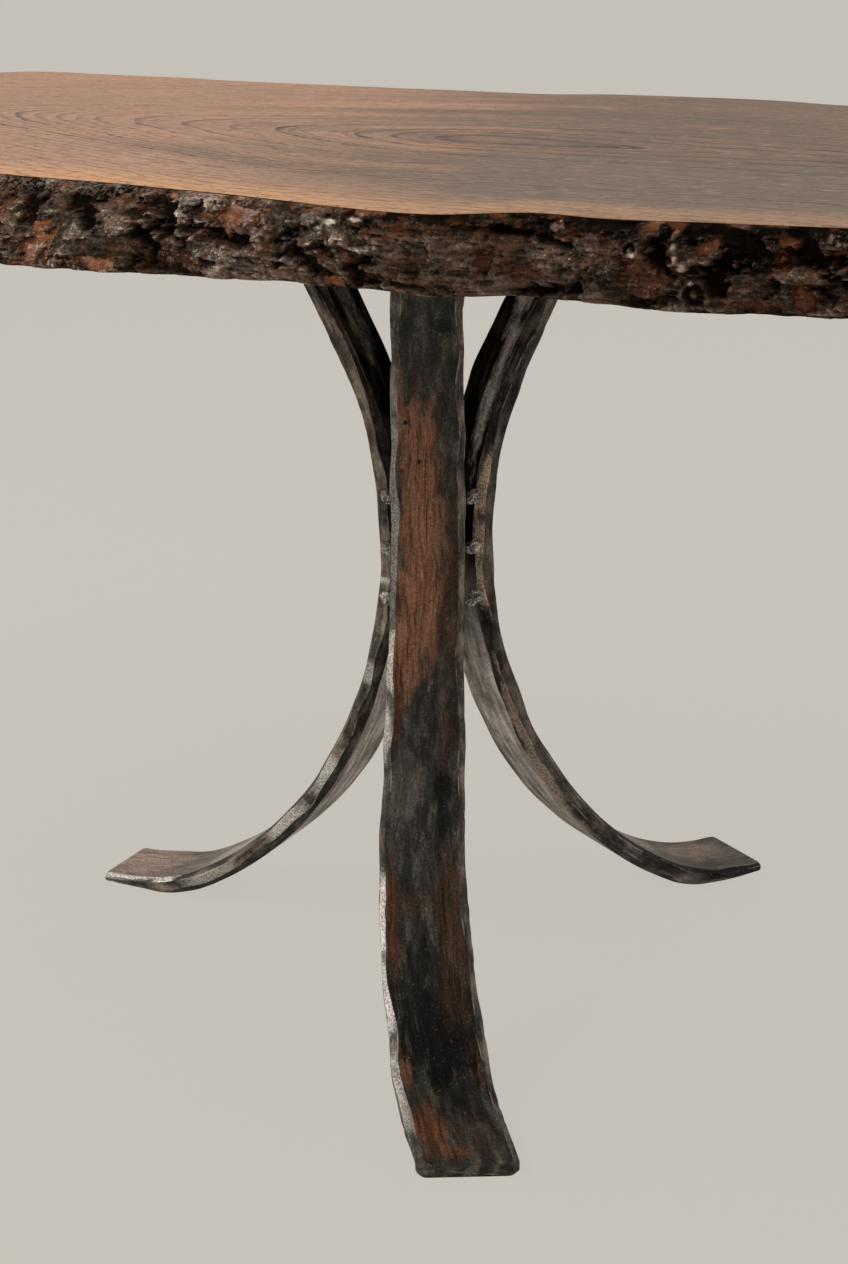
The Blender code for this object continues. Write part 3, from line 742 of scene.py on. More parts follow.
def grey_border(shade, x, y):
    """1 where the front half of the slab turns grey, as painted sheen of the wood's chatoyance."""
    slant = shade.times(shade.minus(BORDER_PLACE[1], y), BORDER_SLANT)
    past = shade.minus(x, BORDER_PLACE[0], slant)
    return shade.times(shade.spread(past, -0.008, 0.030), shade.spread(y, -0.11, -0.17))


def walnut_ground(shade, place, cloud, band):
    """Warm wood at the left passing into grey at the right, with red blushes towards the middle, and painted
    sheen of the wood's chatoyance past the grey border.
    """
    x, y, _ = shade.parts(place)
    clouded = shade.spread(cloud, 0.35, 0.65)
    warm = shade.mix(clouded, srgb(180, 136, 107), srgb(168, 130, 106))
    grey = shade.mix(clouded, srgb(112, 91, 74), srgb(127, 101, 82))
    shift = shade.plus(x, shade.swing(cloud, 0.40), shade.swing(band, 0.60), shade.times(y, 0.30))
    flush = shade.drawn_noise(place, (9.0, 40.0, 40.0), 2.0)
    blush = shade.times(shade.spread(flush, 0.55, 0.75),
                        shade.spread(shade.math("ABSOLUTE", x), 0.60, 0.05, 0.12, 0.50))
    return shade.laid_over(
        warm,
        (shade.spread(shift, -0.28, 0.10), grey),
        (blush, srgb(182, 122, 88)),
        (shade.times(grey_border(shade, x, y), 0.72), srgb(112, 98, 82)))


def wood_marks(shade, colour, place, broken):
    """The wood's colour with its few strong marks."""
    fray = shade.swing(broken, 1.6)
    for x, y, half_length, half_width, strength, mark_colour in WOOD_MARKS:
        mark = shade.group(SOFT_PATCH, Place=place, Centre=(x, y, TABLE_HEIGHT),
                           Half_Size=(half_length, half_width, MARK_DEPTH), Fray=fray)
        colour = shade.mix(shade.times(mark, strength), colour, mark_colour)
    return colour


def sapwood(shade, place, from_bark, cloud):
    """Strength of the golden strip along the front edge, fainter towards the right."""
    x, y, _ = shade.parts(place)
    strip = shade.spread(shade.plus(from_bark, shade.swing(cloud, 0.09)), 0.085, 0.010, 0.0, 0.95)
    return shade.times(strip, shade.spread(y, 0.05, -0.15), shade.spread(x, 0.05, 0.40, 1.0, 0.45))


def oiled_walnut():
    material, shade = new_material("oiled_walnut")
    place = shade.places()
    opened, count = growth_rings(shade, place)
    from_bark = shade.attribute("from_bark", "Fac")
    band = shade.noise_along(count, 0.30, 2.0)
    cloud = shade.drawn_noise(place, (3.0, 8.0, 8.0), 3.0)
    broken = shade.drawn_noise(place, (18.0, 30.0, 30.0), 2.0)
    dashes = shade.group(STREAKS, Place=place, Stretch=(60.0, 150.0, 150.0), Contrast=3.0)
    flecks = shade.group(STREAKS, Place=place, Stretch=(150.0, 260.0, 260.0), Contrast=3.0)
    pores = shade.group(STREAKS, Place=place, Stretch=(45.0, 900.0, 900.0), Contrast=1.5)
    line = shade.times(shade.spread(broken, 0.30, 0.58, 0.40, 1.0),
                       shade.spread(from_bark, 0.0, 0.08, 0.15, 1.0), ring_lines(shade, opened, count, 1.0))

    colour = wood_marks(shade, walnut_ground(shade, place, cloud, band), place, broken)
    colour = shade.laid_over(
        colour,
        (sapwood(shade, place, from_bark, cloud), srgb(204, 150, 105)),
        (line, srgb(50, 35, 28)),
        (shade.times(ring_lines(shade, opened, count, 3.0), 0.50), srgb(76, 54, 43)),
        (shade.spread(dashes, 0.52, -0.10, 0.0, 0.50), srgb(96, 70, 57)),
        (shade.spread(dashes, 0.60, 1.1, 0.0, 0.26), srgb(206, 168, 140)),
        (shade.spread(flecks, 0.42, -0.10, 0.0, 0.75), srgb(82, 58, 47)),
        (shade.spread(pores, 0.5, 0.1, 0.0, 0.30), srgb(84, 62, 50)))
    return finished(
        material, shade, Base_Color=colour, Specular_IOR_Level=0.25,
        Roughness=shade.spread(pores, 0.2, 0.8, 0.60, 0.48), Normal=shade.bump(pores, 0.0004, 0.35))


# Bark finish

def bark_height(shade, place, relief, crumb, fibre):
    """Relief with its crumbs and fibres, lowered at the photograph's right and at the upper rim there."""
    x, _, z = shade.parts(place)
    height = shade.plus(relief, shade.swing(crumb, 0.95), shade.swing(fibre, 0.30),
                        shade.spread(x, -0.05, 0.12, -0.08, 0.06))
    rim = shade.times(shade.spread(z, TABLE_HEIGHT - 0.018, TABLE_HEIGHT - 0.004),
                      shade.spread(x, 0.06, 0.22, 0.0, 0.38))
    return shade.minus(height, shade.spread(x, 0.28, 0.40, 0.0, 0.22), rim)


def bare_wood(shade, x, bare, tone, crumb, lump, fibre, specks):
    """Red-brown to tan wood under the bark, dark at its rims as darker wood and as painted shade, with torn
    fibres, and pale crumb tops and specks towards the left as painted highlights.
    """
    return shade.laid_over(
        shade.mix(tone, srgb(86, 46, 31), srgb(156, 96, 56)),
        (shade.spread(bare, 0.95, 0.40, 0.0, 0.90), srgb(58, 30, 18)),
        (shade.spread(fibre, 0.58, 0.10, 0.0, 0.85), srgb(58, 31, 19)),
        (shade.spread(lump, 0.58, 0.40, 0.0, 0.85), srgb(66, 34, 21)),
        # Pale crumb tops and specks: painted highlights
        (shade.spread(crumb, 0.56, 0.76, 0.0, 0.60), srgb(198, 146, 104)),
        (shade.times(specks, shade.spread(x, 0.12, 0.02, 0.0, 0.45)), srgb(222, 182, 148)))


def sealed_bark():
    """Dark broken bark with glossy crests, and bare wood where it has come away.

    Towards the left, pale specks on the crests are painted highlights, and the pale crust along the upper
    rim is partly painted highlight.
    """
    material, shade = new_material("sealed_bark")
    place = shade.places()
    x, _, z = shade.parts(place)
    relief, bare, tone = shade.parts(shade.attribute("bark_look"))
    crumb = shade.noise(place, 300.0, 3.0, 0.7)
    lump = shade.noise(place, 34.0, 3.0)
    specks, _ = shade.group(GRIT, Place=place, Size=0.0028, Share=0.46)
    fibre = shade.group(STREAKS, Place=place, Stretch=(22.0, 180.0, 420.0), Contrast=2.0)
    height = bark_height(shade, place, relief, crumb, fibre)

    brown = shade.ramp(height, (0.08, srgb(22, 16, 11)), (0.36, srgb(62, 48, 38)),
                       (0.70, srgb(112, 90, 76)), (1.0, srgb(186, 160, 140)))
    grey = shade.ramp(height, (0.08, srgb(21, 16, 12)), (0.36, srgb(60, 50, 42)),
                      (0.70, srgb(108, 94, 82)), (1.0, srgb(198, 182, 166)))
    rust = shade.times(shade.spread(shade.noise(place, 70.0, 2.0), 0.52, 0.68), relief, 0.70)
    # Pale specks on the crests, stronger towards the left: painted highlights
    crest_highlights = shade.times(specks, shade.spread(relief, 0.40, 0.75), shade.spread(x, 0.25, -0.05, 0.20, 0.80))
    # Pale crust along the upper rim at the left, partly painted highlights
    crust_and_highlights = shade.times(shade.spread(z, TABLE_HEIGHT - 0.012, TABLE_HEIGHT - 0.003),
                        shade.spread(x, 0.06, -0.06, 0.0, 0.65), shade.spread(crumb, 0.46, 0.62))
    wood = bare_wood(shade, x, bare, tone, crumb, lump, fibre, specks)
    colour = shade.laid_over(
        brown,
        (shade.spread(lump, 0.44, 0.62), grey),
        (rust, srgb(134, 80, 52)),
        (crest_highlights, srgb(206, 186, 168)),
        (crust_and_highlights, srgb(132, 114, 100)),
        (shade.spread(bare, 0.20, 0.75, 0.0, 0.92), wood))
    gloss = shade.math("MAXIMUM", shade.spread(height, 0.42, 0.86, 0.0, 0.80), shade.times(bare, 0.28))
    rough = shade.plus(crumb, shade.times(fibre, 0.6))
    return finished(
        material, shade, Base_Color=colour, Specular_IOR_Level=0.0,
        Roughness=shade.spread(crumb, 0.3, 0.7, 0.70, 0.45), Coat_Weight=gloss, Coat_Roughness=0.22,
        Normal=shade.bump(rough, 0.0018, 0.8))


# Forged steel. Stains are blots of heat colour, one of them a pale blot of painted highlight: across the
# bar, along it from the waist, half width, half length, strength, and the colours of their dark and light
# streaks
BROWN = (srgb(80, 51, 38), srgb(166, 119, 93))
RUST = (srgb(48, 28, 19), srgb(128, 82, 55))
RED = (srgb(58, 33, 23), srgb(104, 64, 46))
UMBER = (srgb(40, 28, 20), srgb(90, 62, 44))
BLACK = (srgb(7, 6, 5), srgb(18, 16, 13))
GREY = (srgb(62, 57, 52), srgb(128, 119, 110))
TAN = (srgb(136, 114, 101), srgb(208, 182, 166))
PALE = (srgb(150, 141, 133), srgb(212, 205, 197))
FRONT_STAINS = (
    (-0.009, -0.100, 0.017, 0.062, 0.95, BROWN), (-0.005, -0.020, 0.021, 0.075, 0.95, BROWN),
    (-0.008, 0.050, 0.021, 0.056, 0.95, BROWN), (-0.020, 0.092, 0.012, 0.040, 0.80, BROWN),
    (-0.024, -0.152, 0.005, 0.034, 0.75, BROWN), (-0.027, 0.135, 0.006, 0.036, 0.75, RED),
    (0.020, 0.040, 0.010, 0.110, 0.45, UMBER), (0.022, 0.170, 0.007, 0.035, 0.45, UMBER),
    (-0.030, 0.330, 0.006, 0.060, 0.85, RED), (0.023, 0.325, 0.013, 0.060, 0.75, UMBER),
    (-0.012, 0.318, 0.022, 0.012, 0.45, UMBER), (-0.031, 0.476, 0.005, 0.022, 0.80, RUST),
    (-0.022, 0.548, 0.014, 0.034, 0.85, RUST), (-0.008, 0.577, 0.014, 0.008, 0.60, RUST),
    (0.028, 0.472, 0.006, 0.034, 0.55, RED), (0.016, 0.215, 0.010, 0.014, 0.85, BLACK),
    (0.017, 0.242, 0.008, 0.018, 0.70, BLACK), (0.013, -0.240, 0.010, 0.007, 0.70, BLACK),
    (-0.019, -0.135, 0.0022, 0.0025, 0.95, BLACK), (-0.007, -0.094, 0.0018, 0.0020, 0.95, BLACK),
    (0.002, 0.425, 0.034, 0.060, 0.85, BLACK), (0.008, 0.500, 0.026, 0.040, 0.60, BLACK),
    (-0.018, 0.215, 0.018, 0.034, 0.60, GREY), (0.012, 0.560, 0.024, 0.026, 0.40, UMBER),
    (0.006, 0.455, 0.034, 0.030, 0.60, BLACK), (0.020, 0.395, 0.014, 0.040, 0.50, UMBER),
)
# The pale blot near the left foot's bend is a painted highlight
LEFT_STAINS = (
    (-0.006, 0.555, 0.040, 0.044, 0.75, TAN), (0.010, 0.420, 0.040, 0.036, 0.75, PALE),
    (0.004, 0.200, 0.020, 0.090, 0.40, UMBER), (-0.012, -0.150, 0.016, 0.100, 0.40, UMBER),
)
RIGHT_STAINS = (
    (0.000, 0.555, 0.046, 0.030, 0.60, GREY), (0.010, 0.520, 0.022, 0.040, 0.50, TAN),
    (0.016, 0.440, 0.030, 0.030, 0.60, TAN), (0.004, 0.200, 0.020, 0.090, 0.40, UMBER),
)
# Bright places: bare metal where hammer and file have cut through the scale, and painted highlights where
# the light catches the bars: as stains, less the colours
# On the front bar's left bevel: mostly painted highlights, from the light at the left
FRONT_GLINTS = (
    (-0.031, 0.095, 0.007, 0.030, 0.90), (-0.036, 0.160, 0.006, 0.022, 0.60),
    (-0.039, 0.325, 0.009, 0.038, 0.90), (-0.039, 0.405, 0.008, 0.036, 0.75),
    (-0.030, -0.060, 0.007, 0.120, 0.40), (-0.040, 0.500, 0.008, 0.040, 0.50),
)
# A painted highlight line and glint along the left foot's top arris
FOOT_GLINTS = ((0.038, 0.510, 0.010, 0.012, 0.95), (0.0335, 0.550, 0.0035, 0.050, 0.95))
LEFT_SIDE_GLINTS = (
    (0.034, 0.245, 0.020, 0.024, 0.95), (0.038, 0.328, 0.020, 0.026, 0.95),
    (0.038, 0.440, 0.020, 0.030, 0.50), (0.034, 0.125, 0.020, 0.012, 0.60),
    (0.034, 0.030, 0.020, 0.004, 0.80),
)
# Rust-tan specks on the right bar's inner bevel, partly painted highlights
INNER_GLINTS = (
    (-0.031, -0.055, 0.008, 0.026, 0.95), (-0.032, -0.008, 0.008, 0.016, 0.85),
    (-0.033, 0.032, 0.007, 0.020, 0.85), (-0.037, 0.230, 0.004, 0.110, 0.45),
)
# Painted highlights on the inner faces above the waist: of the right bar, and fainter of the left
BACK_GLINTS = ((-0.006, -0.250, 0.012, 0.050, 1.0), (-0.014, -0.140, 0.009, 0.060, 0.90))
LEFT_BACK_GLINTS = ((0.004, -0.215, 0.012, 0.050, 0.26),)
LEFT_SIDE_STAINS = (
    (0.038, 0.550, 0.020, 0.034, 0.75, GREY), (0.038, 0.285, 0.020, 0.014, 0.60, UMBER),
    (0.038, 0.385, 0.020, 0.022, 0.50, RED), (0.036, 0.190, 0.020, 0.026, 0.50, UMBER),
)
RIGHT_SIDE_STAINS = (
    (-0.043, 0.555, 0.060, 0.045, 0.90, BLACK), (-0.043, 0.440, 0.020, 0.040, 0.60, BLACK),
    (-0.043, 0.330, 0.020, 0.036, 0.40, UMBER), (-0.036, 0.100, 0.020, 0.080, 0.40, UMBER),
)


DULL_SHINE = 0.12    # painted sparkle of the specks in worked steel, away from its glints
DULL_METAL = 0.30


def patch_mask(shade, flat_spot, fray, blot):
    """A soft patch on a bar, as a mask of its strength."""
    across, along, half_width, half_length, strength = blot
    mask = shade.group(SOFT_PATCH, Place=flat_spot, Centre=(across, along, 0.0),
                       Half_Size=(half_width, half_length, 1.0), Fray=fray)
    return shade.times(mask, strength)


def brightest(shade, flat_spot, fray, glints):
    """The strongest of a bar's bright places, as a mask."""
    masks = [patch_mask(shade, flat_spot, fray, glint) for glint in glints]
    bright = masks[0]
    for mask in masks[1:]:
        bright = shade.math("MAXIMUM", bright, mask)
    return bright


def stained(shade, colour, flat_spot, fray, shown, stains):
    """The colour with heat stains over it, and any pale blot of painted highlight, each from its dark to its
    light streaks.
    """
    for *blot, (dark, light) in stains:
        streaked = shade.mix(shade.spread(shown, 0.30, 0.82), dark, light)
        colour = shade.mix(patch_mask(shade, flat_spot, fray, blot), colour, streaked)
    return colour


def bar_spots(shade):
    """A point's place in the table's frame, its spot on the bar, and that spot without its depth."""
    spot = shade.attribute("bar_place")
    return shade.places(), spot, shade.vector("MULTIPLY", spot, (1.0, 1.0, 0.0))


def rubbed_arris(shade, place, strength):
    worn = shade.group(WORN_ARRIS, Place=place, To_Arris=shade.attribute("to_arris", "Fac"))
    return shade.times(worn, strength)


def forged_face(name, stains, tones):
    """The bar's outer face: black scale with heat stains, drawn out in streaks along the bar."""
    material, shade = new_material(name)
    place, spot, flat_spot = bar_spots(shade)
    bent = shade.times(shade.drawn_noise(flat_spot, (24.0, 11.0, 0.0), 3.0), 0.022)
    grain = shade.vector("ADD", spot, shade.join(bent, 0.0, 0.0))
    streak = shade.group(STREAKS, Place=grain, Stretch=(380.0, 13.0, 1.0), Contrast=2.5)
    cloud = shade.drawn_noise(flat_spot, (95.0, 24.0, 0.0), 6.0, 0.70)
    specks, rough = shade.group(GRIT, Place=place, Size=0.0020, Share=0.30)
    fray = shade.group(TORN_RIM, Place=spot, Streak=streak)

    colour = shade.ramp(cloud, *zip((0.30, 0.50, 0.74), tones))
    shown = shade.plus(shade.times(streak, 0.45), shade.times(cloud, 0.70))
    colour = stained(shade, colour, flat_spot, fray, shown, stains)
    colour = shade.mix(shade.spread(streak, 0.34, -0.15, 0.0, 0.60), colour, srgb(22, 15, 11))
    colour = shade.group(ROUGH_GRAIN, Color=colour, Rough=rough, Amount=1.2)
    colour = shade.laid_over(
        colour,
        (shade.times(specks, shade.spread(cloud, 0.35, 0.62, 0.12, 0.50)), srgb(178, 166, 152)),
        (rubbed_arris(shade, place, 0.65), srgb(178, 168, 156)))
    worked = shade.plus(rough, shade.times(streak, 0.35))
    return finished(
        material, shade, Base_Color=colour, Specular_IOR_Level=0.10,
        Metallic=shade.spread(specks, 0.0, 1.0, 0.10, 0.80),
        Roughness=shade.spread(cloud, 0.3, 0.7, 0.34, 0.52), Normal=shade.bump(worked, 0.0012, 0.8))


def worked_steel(name, tones, polish, glints=(), glint_colour=SILVER, stains=()):
    """Steel worked over by hammer or file: dark, middle and light tones by chance, and bright glints that
    are partly painted highlights, with painted sparkle on its specks.
    """
    material, shade = new_material(name)
    place, spot, flat_spot = bar_spots(shade)
    streak = shade.group(STREAKS, Place=spot, Stretch=(110.0, 24.0, 110.0), Contrast=2.4)
    rubbed = shade.group(MOTTLE, Place=place, Streak=streak, Fineness=36.0)
    specks, rough = shade.group(GRIT, Place=place, Size=0.0017, Share=0.34)
    fray = shade.group(TORN_RIM, Place=spot, Streak=streak) if glints or stains else None

    colour = shade.ramp(rubbed, *zip((0.34, 0.50, 0.68), tones))
    colour = stained(shade, colour, flat_spot, fray, rubbed, stains)
    shine, metal = DULL_SHINE, DULL_METAL
    if glints:
        bright = brightest(shade, flat_spot, fray, glints)
        mottled = shade.times(bright, shade.spread(rough, 0.34, 0.58, 0.40, 1.0))
        colour = shade.mix(mottled, colour, glint_colour)
        shine = shade.spread(bright, 0.0, 1.0, DULL_SHINE, 0.60)
        metal = shade.spread(bright, 0.0, 0.8, DULL_METAL, 0.9)
    colour = shade.group(ROUGH_GRAIN, Color=colour, Rough=rough, Amount=0.9)
    colour = shade.laid_over(
        colour,
        (shade.times(specks, shine), srgb(228, 223, 216)),
        (rubbed_arris(shade, place, 0.60), srgb(190, 182, 172)))
    return finished(
        material, shade, Base_Color=colour, Metallic=metal, Specular_IOR_Level=0.12,
        Roughness=shade.spread(rubbed, 0.3, 0.8, polish + 0.16, polish),
        Normal=shade.bump(shade.plus(rough, streak), 0.0012, 0.7))


def brushed_back(name, glints=()):
    """The bar's inner face: brushed grey below the waist, and above it, under the slab, near black as
    painted shade, with its bright places as painted highlights.
    """
    material, shade = new_material(name)
    place, spot, flat_spot = bar_spots(shade)
    streak = shade.group(STREAKS, Place=spot, Stretch=(80.0, 13.0, 1.0), Contrast=2.2)
    rubbed = shade.group(MOTTLE, Place=place, Streak=streak, Fineness=26.0)
    specks, rough = shade.group(GRIT, Place=place, Size=0.0026, Share=0.42)

    brushed = shade.ramp(rubbed, *zip((0.30, 0.50, 0.70), greys(PLAIN, 92, 164, 236)))
    brushed = shade.group(ROUGH_GRAIN, Color=brushed, Rough=rough, Amount=1.0)
    above = shade.spread(shade.parts(spot)[1], 0.10, 0.0)
    # Above the waist: near black as painted shade under the slab, with painted highlights and sparkle laid
    # over
    painted_shade_and_glints = shade.mix(shade.spread(rubbed, 0.42, 0.66), srgb(10, 8, 6), srgb(58, 49, 37))
    if glints:
        fray = shade.group(TORN_RIM, Place=spot, Streak=streak)
        bright = shade.times(brightest(shade, flat_spot, fray, glints),
                             shade.spread(rubbed, 0.34, 0.58, 0.25, 1.0))
        painted_shade_and_glints = shade.laid_over(
            painted_shade_and_glints,
            (shade.times(bright, shade.spread(rough, 0.28, 0.62, 0.40, 1.0)), srgb(226, 221, 214)),
            (shade.times(bright, specks), srgb(250, 248, 244)))
    return finished(
        material, shade, Base_Color=shade.mix(above, brushed, painted_shade_and_glints), Specular_IOR_Level=0.0,
        Metallic=shade.spread(above, 0.0, 1.0, 0.3, 0.0),
        Roughness=shade.spread(rubbed, 0.3, 0.8, 0.56, 0.40),
        Normal=shade.bump(shade.plus(rough, streak), 0.0008, 0.6))


def spattered_weld():
    """Crumbly weld metal in pale tones with white specks, partly painted highlights that keep it bright in
    the shade where it sits.
    """
    material, shade = new_material("weld_metal")
    place = shade.places()
    cloud = shade.noise(place, 120.0, 4.0, 0.65)
    specks, rough = shade.group(GRIT, Place=place, Size=0.0022, Share=0.50)
    colour = shade.ramp(cloud, (0.34, srgb(84, 76, 68)), (0.50, srgb(164, 154, 144)),
                        (0.66, srgb(236, 230, 222)))
    colour = shade.group(ROUGH_GRAIN, Color=colour, Rough=rough, Amount=1.2)
    # White specks: painted sparkle
    colour = shade.mix(shade.times(specks, 0.75), colour, srgb(250, 246, 240))
    return finished(
        material, shade, Base_Color=colour, Metallic=0.25, Specular_IOR_Level=0.25,
        Roughness=shade.spread(cloud, 0.3, 0.7, 0.50, 0.30), Normal=shade.bump(rough, 0.0014, 0.9))


def plated_metal(name, bright, dull, polish):
    """Turned or plated fixings, with faint clouding."""
    material, shade = new_material(name)
    place = shade.places()
    cloud = shade.noise(place, 160.0, 2.0)
    specks, rough = shade.group(GRIT, Place=place, Size=0.0012, Share=0.35)
    colour = shade.mix(shade.spread(cloud, 0.35, 0.65), dull, bright)
    return finished(
        material, shade, Base_Color=shade.mix(shade.times(specks, 0.3), colour, dull), Metallic=1.0,
        Roughness=shade.spread(cloud, 0.3, 0.7, polish, polish + 0.14),
        Normal=shade.bump(rough, 0.0002, 0.4))


# Slab

def slab_levels():
    """Depth and inset of each outline down the slab's edge, with rounded arrises."""
    turns = [math.pi / 2 * k / ARRIS_STEPS for k in range(ARRIS_STEPS + 1)]
    arris = [(EDGE_SOFTENING * (1 - math.cos(a)), EDGE_SOFTENING * (1 - math.sin(a))) for a in turns]
    straight = SLAB_THICKNESS - 2 * EDGE_SOFTENING
    side = [(EDGE_SOFTENING + straight * k / SIDE_ROWS, 0.0) for k in range(1, SIDE_ROWS)]
    return arris + side + [(SLAB_THICKNESS - depth, inset) for depth, inset in reversed(arris)]


def slab_outline(places, depth, inset):
    """The slab's outline at this depth, anticlockwise from above, from the front edge's left end."""
    straight = places[-1]
    radius = CORNER_RADIUS - inset
    turns = [math.pi / 2 * k / CORNER_STEPS for k in range(1, CORNER_STEPS + 1)]

    def side(x, rear):
        lean = edge_lean(x, depth, rear) - inset
        return edge_y(x, rear) + (lean if rear else -lean)

    def end(way):
        front, rear = side(way * straight, False), side(way * straight, True)
        points = [(way * (straight + radius * math.sin(a)), front + radius * (1 - math.cos(a)))
                  for a in turns]
        points += [(way * (straight + radius), front + d) for d in CAP_ROWS if d > CORNER_RADIUS]
        points += [(x, front + rear - y) for x, y in reversed(points)]
        return points + [(way * straight, rear)]

    front = [(x, side(x, False)) for x in places]
    rear = [(x, side(x, True)) for x in places]
    return front + end(1)[:-1] + rear[::-1] + end(-1)[-2::-1]


def cap_slab(bm, loop, count, z):
    """A flat face over an outline: a grid between the natural edges, and one piece over each end."""
    ends = (len(loop) - 2 * count) // 2
    front, right_end = loop[:count], loop[count:count + ends]
    rear, left_end = loop[count + ends:2 * count + ends][::-1], loop[2 * count + ends:]
    columns = []
    for near, far in zip(front, rear):
        inner = [near.co.y + d for d in CAP_ROWS] + [far.co.y - d for d in reversed(CAP_ROWS)]
        columns.append([near] + [bm.verts.new((near.co.x, y, z)) for y in inner] + [far])
    for left, right in zip(columns, columns[1:]):
        for k in range(len(left) - 1):
            bm.faces.new((left[k], right[k], right[k + 1], left[k + 1]))
    bm.faces.new(columns[-1][:1] + right_end + columns[-1][:0:-1])
    bm.faces.new(columns[0] + left_end)


def make_slab(material):
    bm = bmesh.new()
    from_bark = bm.verts.layers.float.new("from_bark")
    places = evenly(HALF_LENGTH - CORNER_RADIUS, SLAB_STEP)
    loops = [[bm.verts.new((x, y, TABLE_HEIGHT - depth)) for x, y in slab_outline(places, depth, inset)]
             for depth, inset in slab_levels()]
    skin(bm, loops)
    cap_slab(bm, loops[0], len(places), TABLE_HEIGHT)
    cap_slab(bm, loops[-1], len(places), UNDERSIDE)
    for loop in (loops[0], loops[-1]):
        for near, far in zip(loop, loop[1:] + loop[:1]):
            bm.edges.get((near, far)).smooth = False
    for vert in bm.verts:
        x = min(max(vert.co.x, places[0]), places[-1])
        vert[from_bark] = max(0.0, min(vert.co.y - edge_y(x, False), edge_y(x, True) - vert.co.y))
    add_piece("walnut_slab", bm, [material], "slab_top")


# Bark strips

def from_middle(x, share, spot):
    """How far a point lies from a spot's middle, in the spot's half sizes."""
    return math.hypot((x - spot[0]) / spot[2], (share - spot[1]) / spot[3])


def spot_share(x, share, spot, ragged):
    """1 inside a spot's ellipse and 0 outside, with a ragged rim."""
    away = from_middle(x, share, spot)
    return 0.0 if away > SPOT_REACH else smooth_step(*SPOT_RIM, away + SPOT_FRAY * ragged)


def gash_share(x, share, gash, ragged):
    """1 along the bottom of a gash and 0 beside it."""
    start, end, half_width = gash
    point = Vector((x, share * SLAB_THICKNESS))
    run = end - start
    t = min(max((point - start).dot(run) / run.length_squared, 0.0), 1.0)
    away = (point - start - t * run).length / half_width
    return smooth_step(*GASH_RIM, away + GASH_FRAY * ragged)


def placed_gash(column, row, end_column, end_row, half_width):
    """Both ends of a gash as (along the slab, depth), and its half width."""
    x, share, half_length, _ = on_front_edge(column, row, half_width, half_width)
    end_x, end_share, _, _ = on_front_edge(end_column, end_row, half_width, half_width)
    return Vector((x, share * SLAB_THICKNESS)), Vector((end_x, end_share * SLAB_THICKNESS)), half_length


BARE_SPOTS = [(*on_front_edge(*patch[:4]), *patch[4:]) for patch in BARE_PATCHES]
SMOOTH_SPOTS = [on_front_edge(*plate) for plate in SMOOTH_PLATES]
BURL_SPOTS = [on_front_edge(*burl) for burl in BURLS]
PALE_SPOTS = [on_front_edge(*crumb) for crumb in PALE_CRUMBS]
DEEP_GASHES = [placed_gash(*gash) for gash in GASHES]


def broken_plates(x, depth, size, bent, seed):
    """Rise of irregular plates, each at its own level and tilted its own way."""
    point = Vector((x / size[0] + bent.x, depth / size[1] + bent.y, seed))
    middle = noise.voronoi(point)[1][0]
    own = noise.cell_vector(CELL_SPACING * middle)
    offset = point - middle
    rise = PLATE_LEVEL * (own.z - 0.5) + PLATE_TILT[0] * (own.x - 0.5) * offset.x
    return rise + PLATE_TILT[1] * (own.y - 0.5) * offset.y


def bark_rises(x, depth, rear):
    """Rise of each layer of the bark here, about -1 to 1, and how hollow, ridged and calm it is, 0 to 1."""
    seed = REAR_SEED if rear else FRONT_SEED

    def place(size, step, bent_down=0.0):
        return Vector((x / size[0], depth / size[1] + bent_down, seed + step))

    bold = 0.0 if rear else smooth_step(*BOLD_BARK, x)
    calm = 0.0 if rear else smooth_step(*CALM_BARK[:2], x) * smooth_step(*CALM_BARK[2:], x)
    bend_place = place(BEND_SIZE, 2.3)
    bent = Vector((noise.noise(bend_place), noise.noise(bend_place + Vector((0.0, 0.0, 30.0))), 0.0))
    ragged = noise.fractal(place(HOLLOW_SIZE, 21.0), 0.6, 2.2, 4)
    rises = {
        "lump": noise.noise(place(BARK_LUMP, 0.0)),
        "plate": noise.noise(place(BARK_PLATE, 5.0)),
        "fibre": noise.fractal(place(FIBRE_SIZE, 4.0, bent.y), 0.7, 2.1, 3),
        "hollow": smooth_step(*HOLLOW_RANGE, ragged) * (1 - CALM_FILL * calm - BOLD_FILL * bold),
        "ridge": smooth_step(*RIDGE_RANGE, ragged),
        "calm": calm,
    }
    for name, (size, bending, step, in_plain, in_bold) in PLATE_LAYERS.items():
        strength = in_plain + (in_bold - in_plain) * bold
        rises[name] = strength * broken_plates(x, depth, size, bending * bent, seed + step)
    return rises


def weighed(weights, rises):
    return sum(weight * rises[name] for name, weight in weights.items())


def turned_into(feature, here, thickness, look, body, rises):
    """Thickness and look of the bark, turned by this share into those of a feature."""
    if not here:
        return thickness, look
    thickness += here * (feature.body * body + weighed(feature.rises, rises) - thickness)
    return thickness, look + here * (feature.look + weighed(feature.swings, rises) - look)


